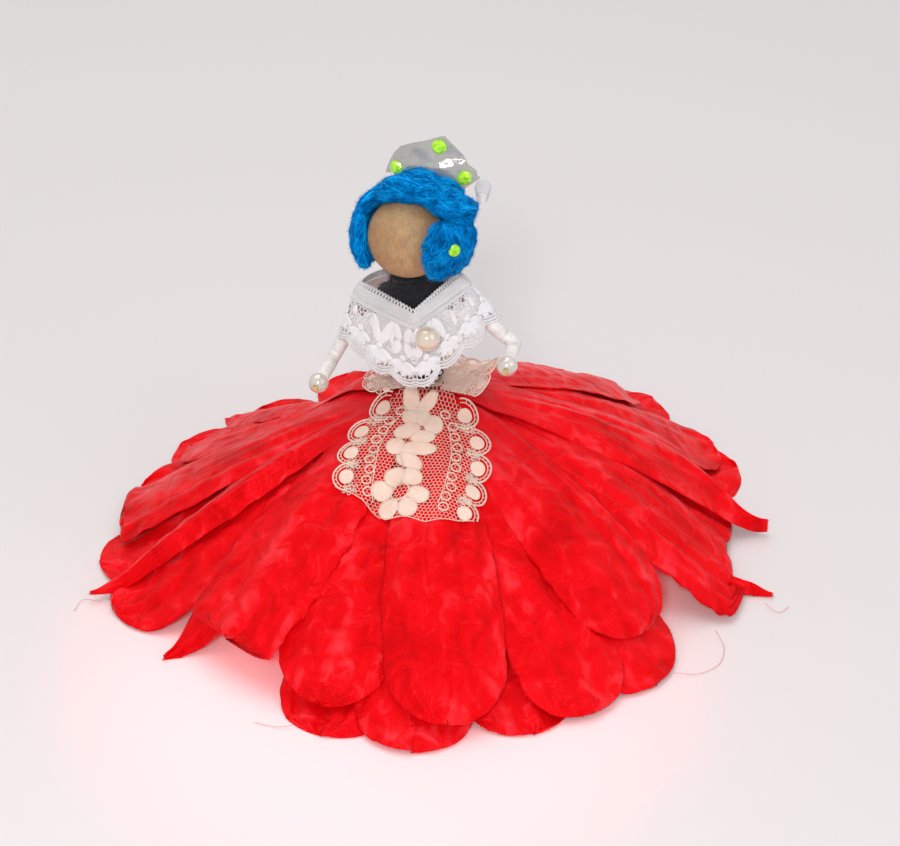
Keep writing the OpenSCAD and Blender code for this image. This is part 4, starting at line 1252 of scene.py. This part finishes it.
crown = Parts()
cx = np.unique(np.concatenate([np.linspace(-9.5, 13.6, 110), TOP[0]]))
low = np.maximum(crown_foot(cx) - 0.8, np.interp(cx, [9.0, 11.0, 13.6], [0, 12.6, 14.6]))
high = np.maximum(np.interp(cx, *TOP), low + 0.5)
f = np.linspace(0, 1, 44)
z = low[None] + (high - low)[None] * f[:, None]
cx = np.broadcast_to(cx, z.shape)
crown.grid(on_head(crown_point(cx, z)), 0.5, np.stack([cx, z], -1))
# Its left end is rolled up
t = np.linspace(0, 1, 24)
turn = np.radians(np.linspace(-165, 140, 40))
axis = np.array([15.3, 7.6, 13.4]) + t[:, None] * [0.9, -2.3, -1.4]
size = 1.9 * (1 - 0.3 * t)
e1, e2 = unit(np.array([0.95, 0.25, 0.10])), unit(np.array([-0.12, 0.30, 0.90]))
roll = axis[:, None] + size[:, None, None] * about(turn, e2, e1)
curl = Parts()
curl.grid(on_head(roll), 0.5)
curl_obj = thin(curl.object("crown_curl", CURL), 0.25)
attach(curl_obj, "head")
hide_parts("crown_band")
crown_obj = thin(crown.object("crown_card", FILM), 0.3)
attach(crown_obj, "head")
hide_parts("crown_band")


def cut_stone(name, middle, out, d):
    """A round cut stone that faces out."""
    g = Parts()
    n = 12
    out = unit(np.asarray(out, float))
    a = unit(np.cross(out, [0.1, 0.2, 1.0]))
    b = np.cross(out, a)
    rows = []
    for q, h, turn in ((1.0, 0.0, 0), (1.0, 0.10, 0), (0.80, 0.24, 0.5), (0.52, 0.34, 0)):
        t = (np.arange(n) + turn) * 2 * math.pi / n
        rows.append(np.asarray(middle) + d * h * out + 0.5 * d * q * about(t, a, b))
    g.grid(np.array(rows), 0.5, None, wrap=True)
    for row in (rows[0], rows[-1]):
        g.fan(row)
    g.v = [on_head(v) for v in g.v]
    obj = g.object(name + "_cut", STONE, False)
    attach(obj, "head")
    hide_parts(name)


for name, x, z in (("crown_gem_left", 10.9, 15.5), ("crown_gem_top", 4.7, 22.9), ("crown_gem_right", -5.6, 15.1)):
    at = crown_point(np.array(x), np.array(z))
    cut_stone(name, at + [0, -0.3, 0], (-(1 - x) * 0.05, -1, 0.06), 3.6)
cut_stone("left_bun_gem", (15.0, -8.0, 4.4), (0.40, -0.82, 0.45), 3.0)
cut_stone("right_bun_gem", (-14.4, 1.8, -1.6), (-1, 0.1, 0.0), 2.7)


# ---- Floor, light and camera ----

bpy.ops.mesh.primitive_plane_add(size=6, location=(0, 0, 0))
floor = bpy.context.object
floor.name = "floor"
table = Shader("table_top", base_color=(0.750, 0.722, 0.724, 1), roughness=0.36, coat_weight=0.22, coat_roughness=0.24)
floor.data.materials.append(table.m)


def area_light(name, at, size, power, colour):
    data = bpy.data.lights.new(name, "AREA")
    data.shape = "DISK"
    data.size = size
    data.energy = power
    data.color = colour
    lamp = bpy.data.objects.new(name, data)
    bpy.context.scene.collection.objects.link(lamp)
    lamp.location = at
    d = np.array([0, 0, 0.05]) - np.array(at)
    lamp.rotation_euler = (math.atan2(math.hypot(d[0], d[1]), -d[2]), 0, math.atan2(-d[0], d[1]))
    return lamp


area_light("flash", (0.04, -0.72, 0.61), 0.17, 3.15, (1, 0.985, 0.98))
area_light("overhead", (-0.22, 0.42, 1.15), 1.1, 5.8, (1, 0.99, 0.98))
area_light("fill", (0.9, -0.3, 0.7), 0.8, 1.8, (0.98, 0.98, 1))
# Red light that comes back from the satin onto the floor
glow = area_light("glow", (-0.002, -0.048, 0.014), 0.134, 0.052, (1, 0.10, 0.12))
glow.rotation_euler = (0, 0, 0)
glow.data.use_shadow = False
glow.visible_glossy = False
only_floor = bpy.data.collections.new("only_floor")
only_floor.objects.link(floor)
glow.light_linking.receiver_collection = only_floor
world = bpy.data.worlds.new("room")
world.use_nodes = True
background = world.node_tree.nodes["Background"]
background.inputs["Color"].default_value = (1.0, 0.975, 0.985, 1)
background.inputs["Strength"].default_value = 0.52
bpy.context.scene.world = world
bpy.context.scene.view_settings.view_transform = "Standard"

AZ, EL, FAR = math.radians(10), math.radians(34), 0.55
cam_data = bpy.data.cameras.new("camera")
cam_data.lens = 88
cam_data.sensor_width = 36
cam_data.shift_x = 0.0211
cam_data.shift_y = -0.0422
camera = bpy.data.objects.new("camera", cam_data)
bpy.context.scene.collection.objects.link(camera)
LOOK_Z = 0.045
camera.location = (*spun(0, -FAR * math.cos(EL), math.degrees(AZ)), LOOK_Z + FAR * math.sin(EL))
camera.rotation_euler = (math.pi / 2 - EL, 0, AZ)
bpy.context.scene.camera = camera
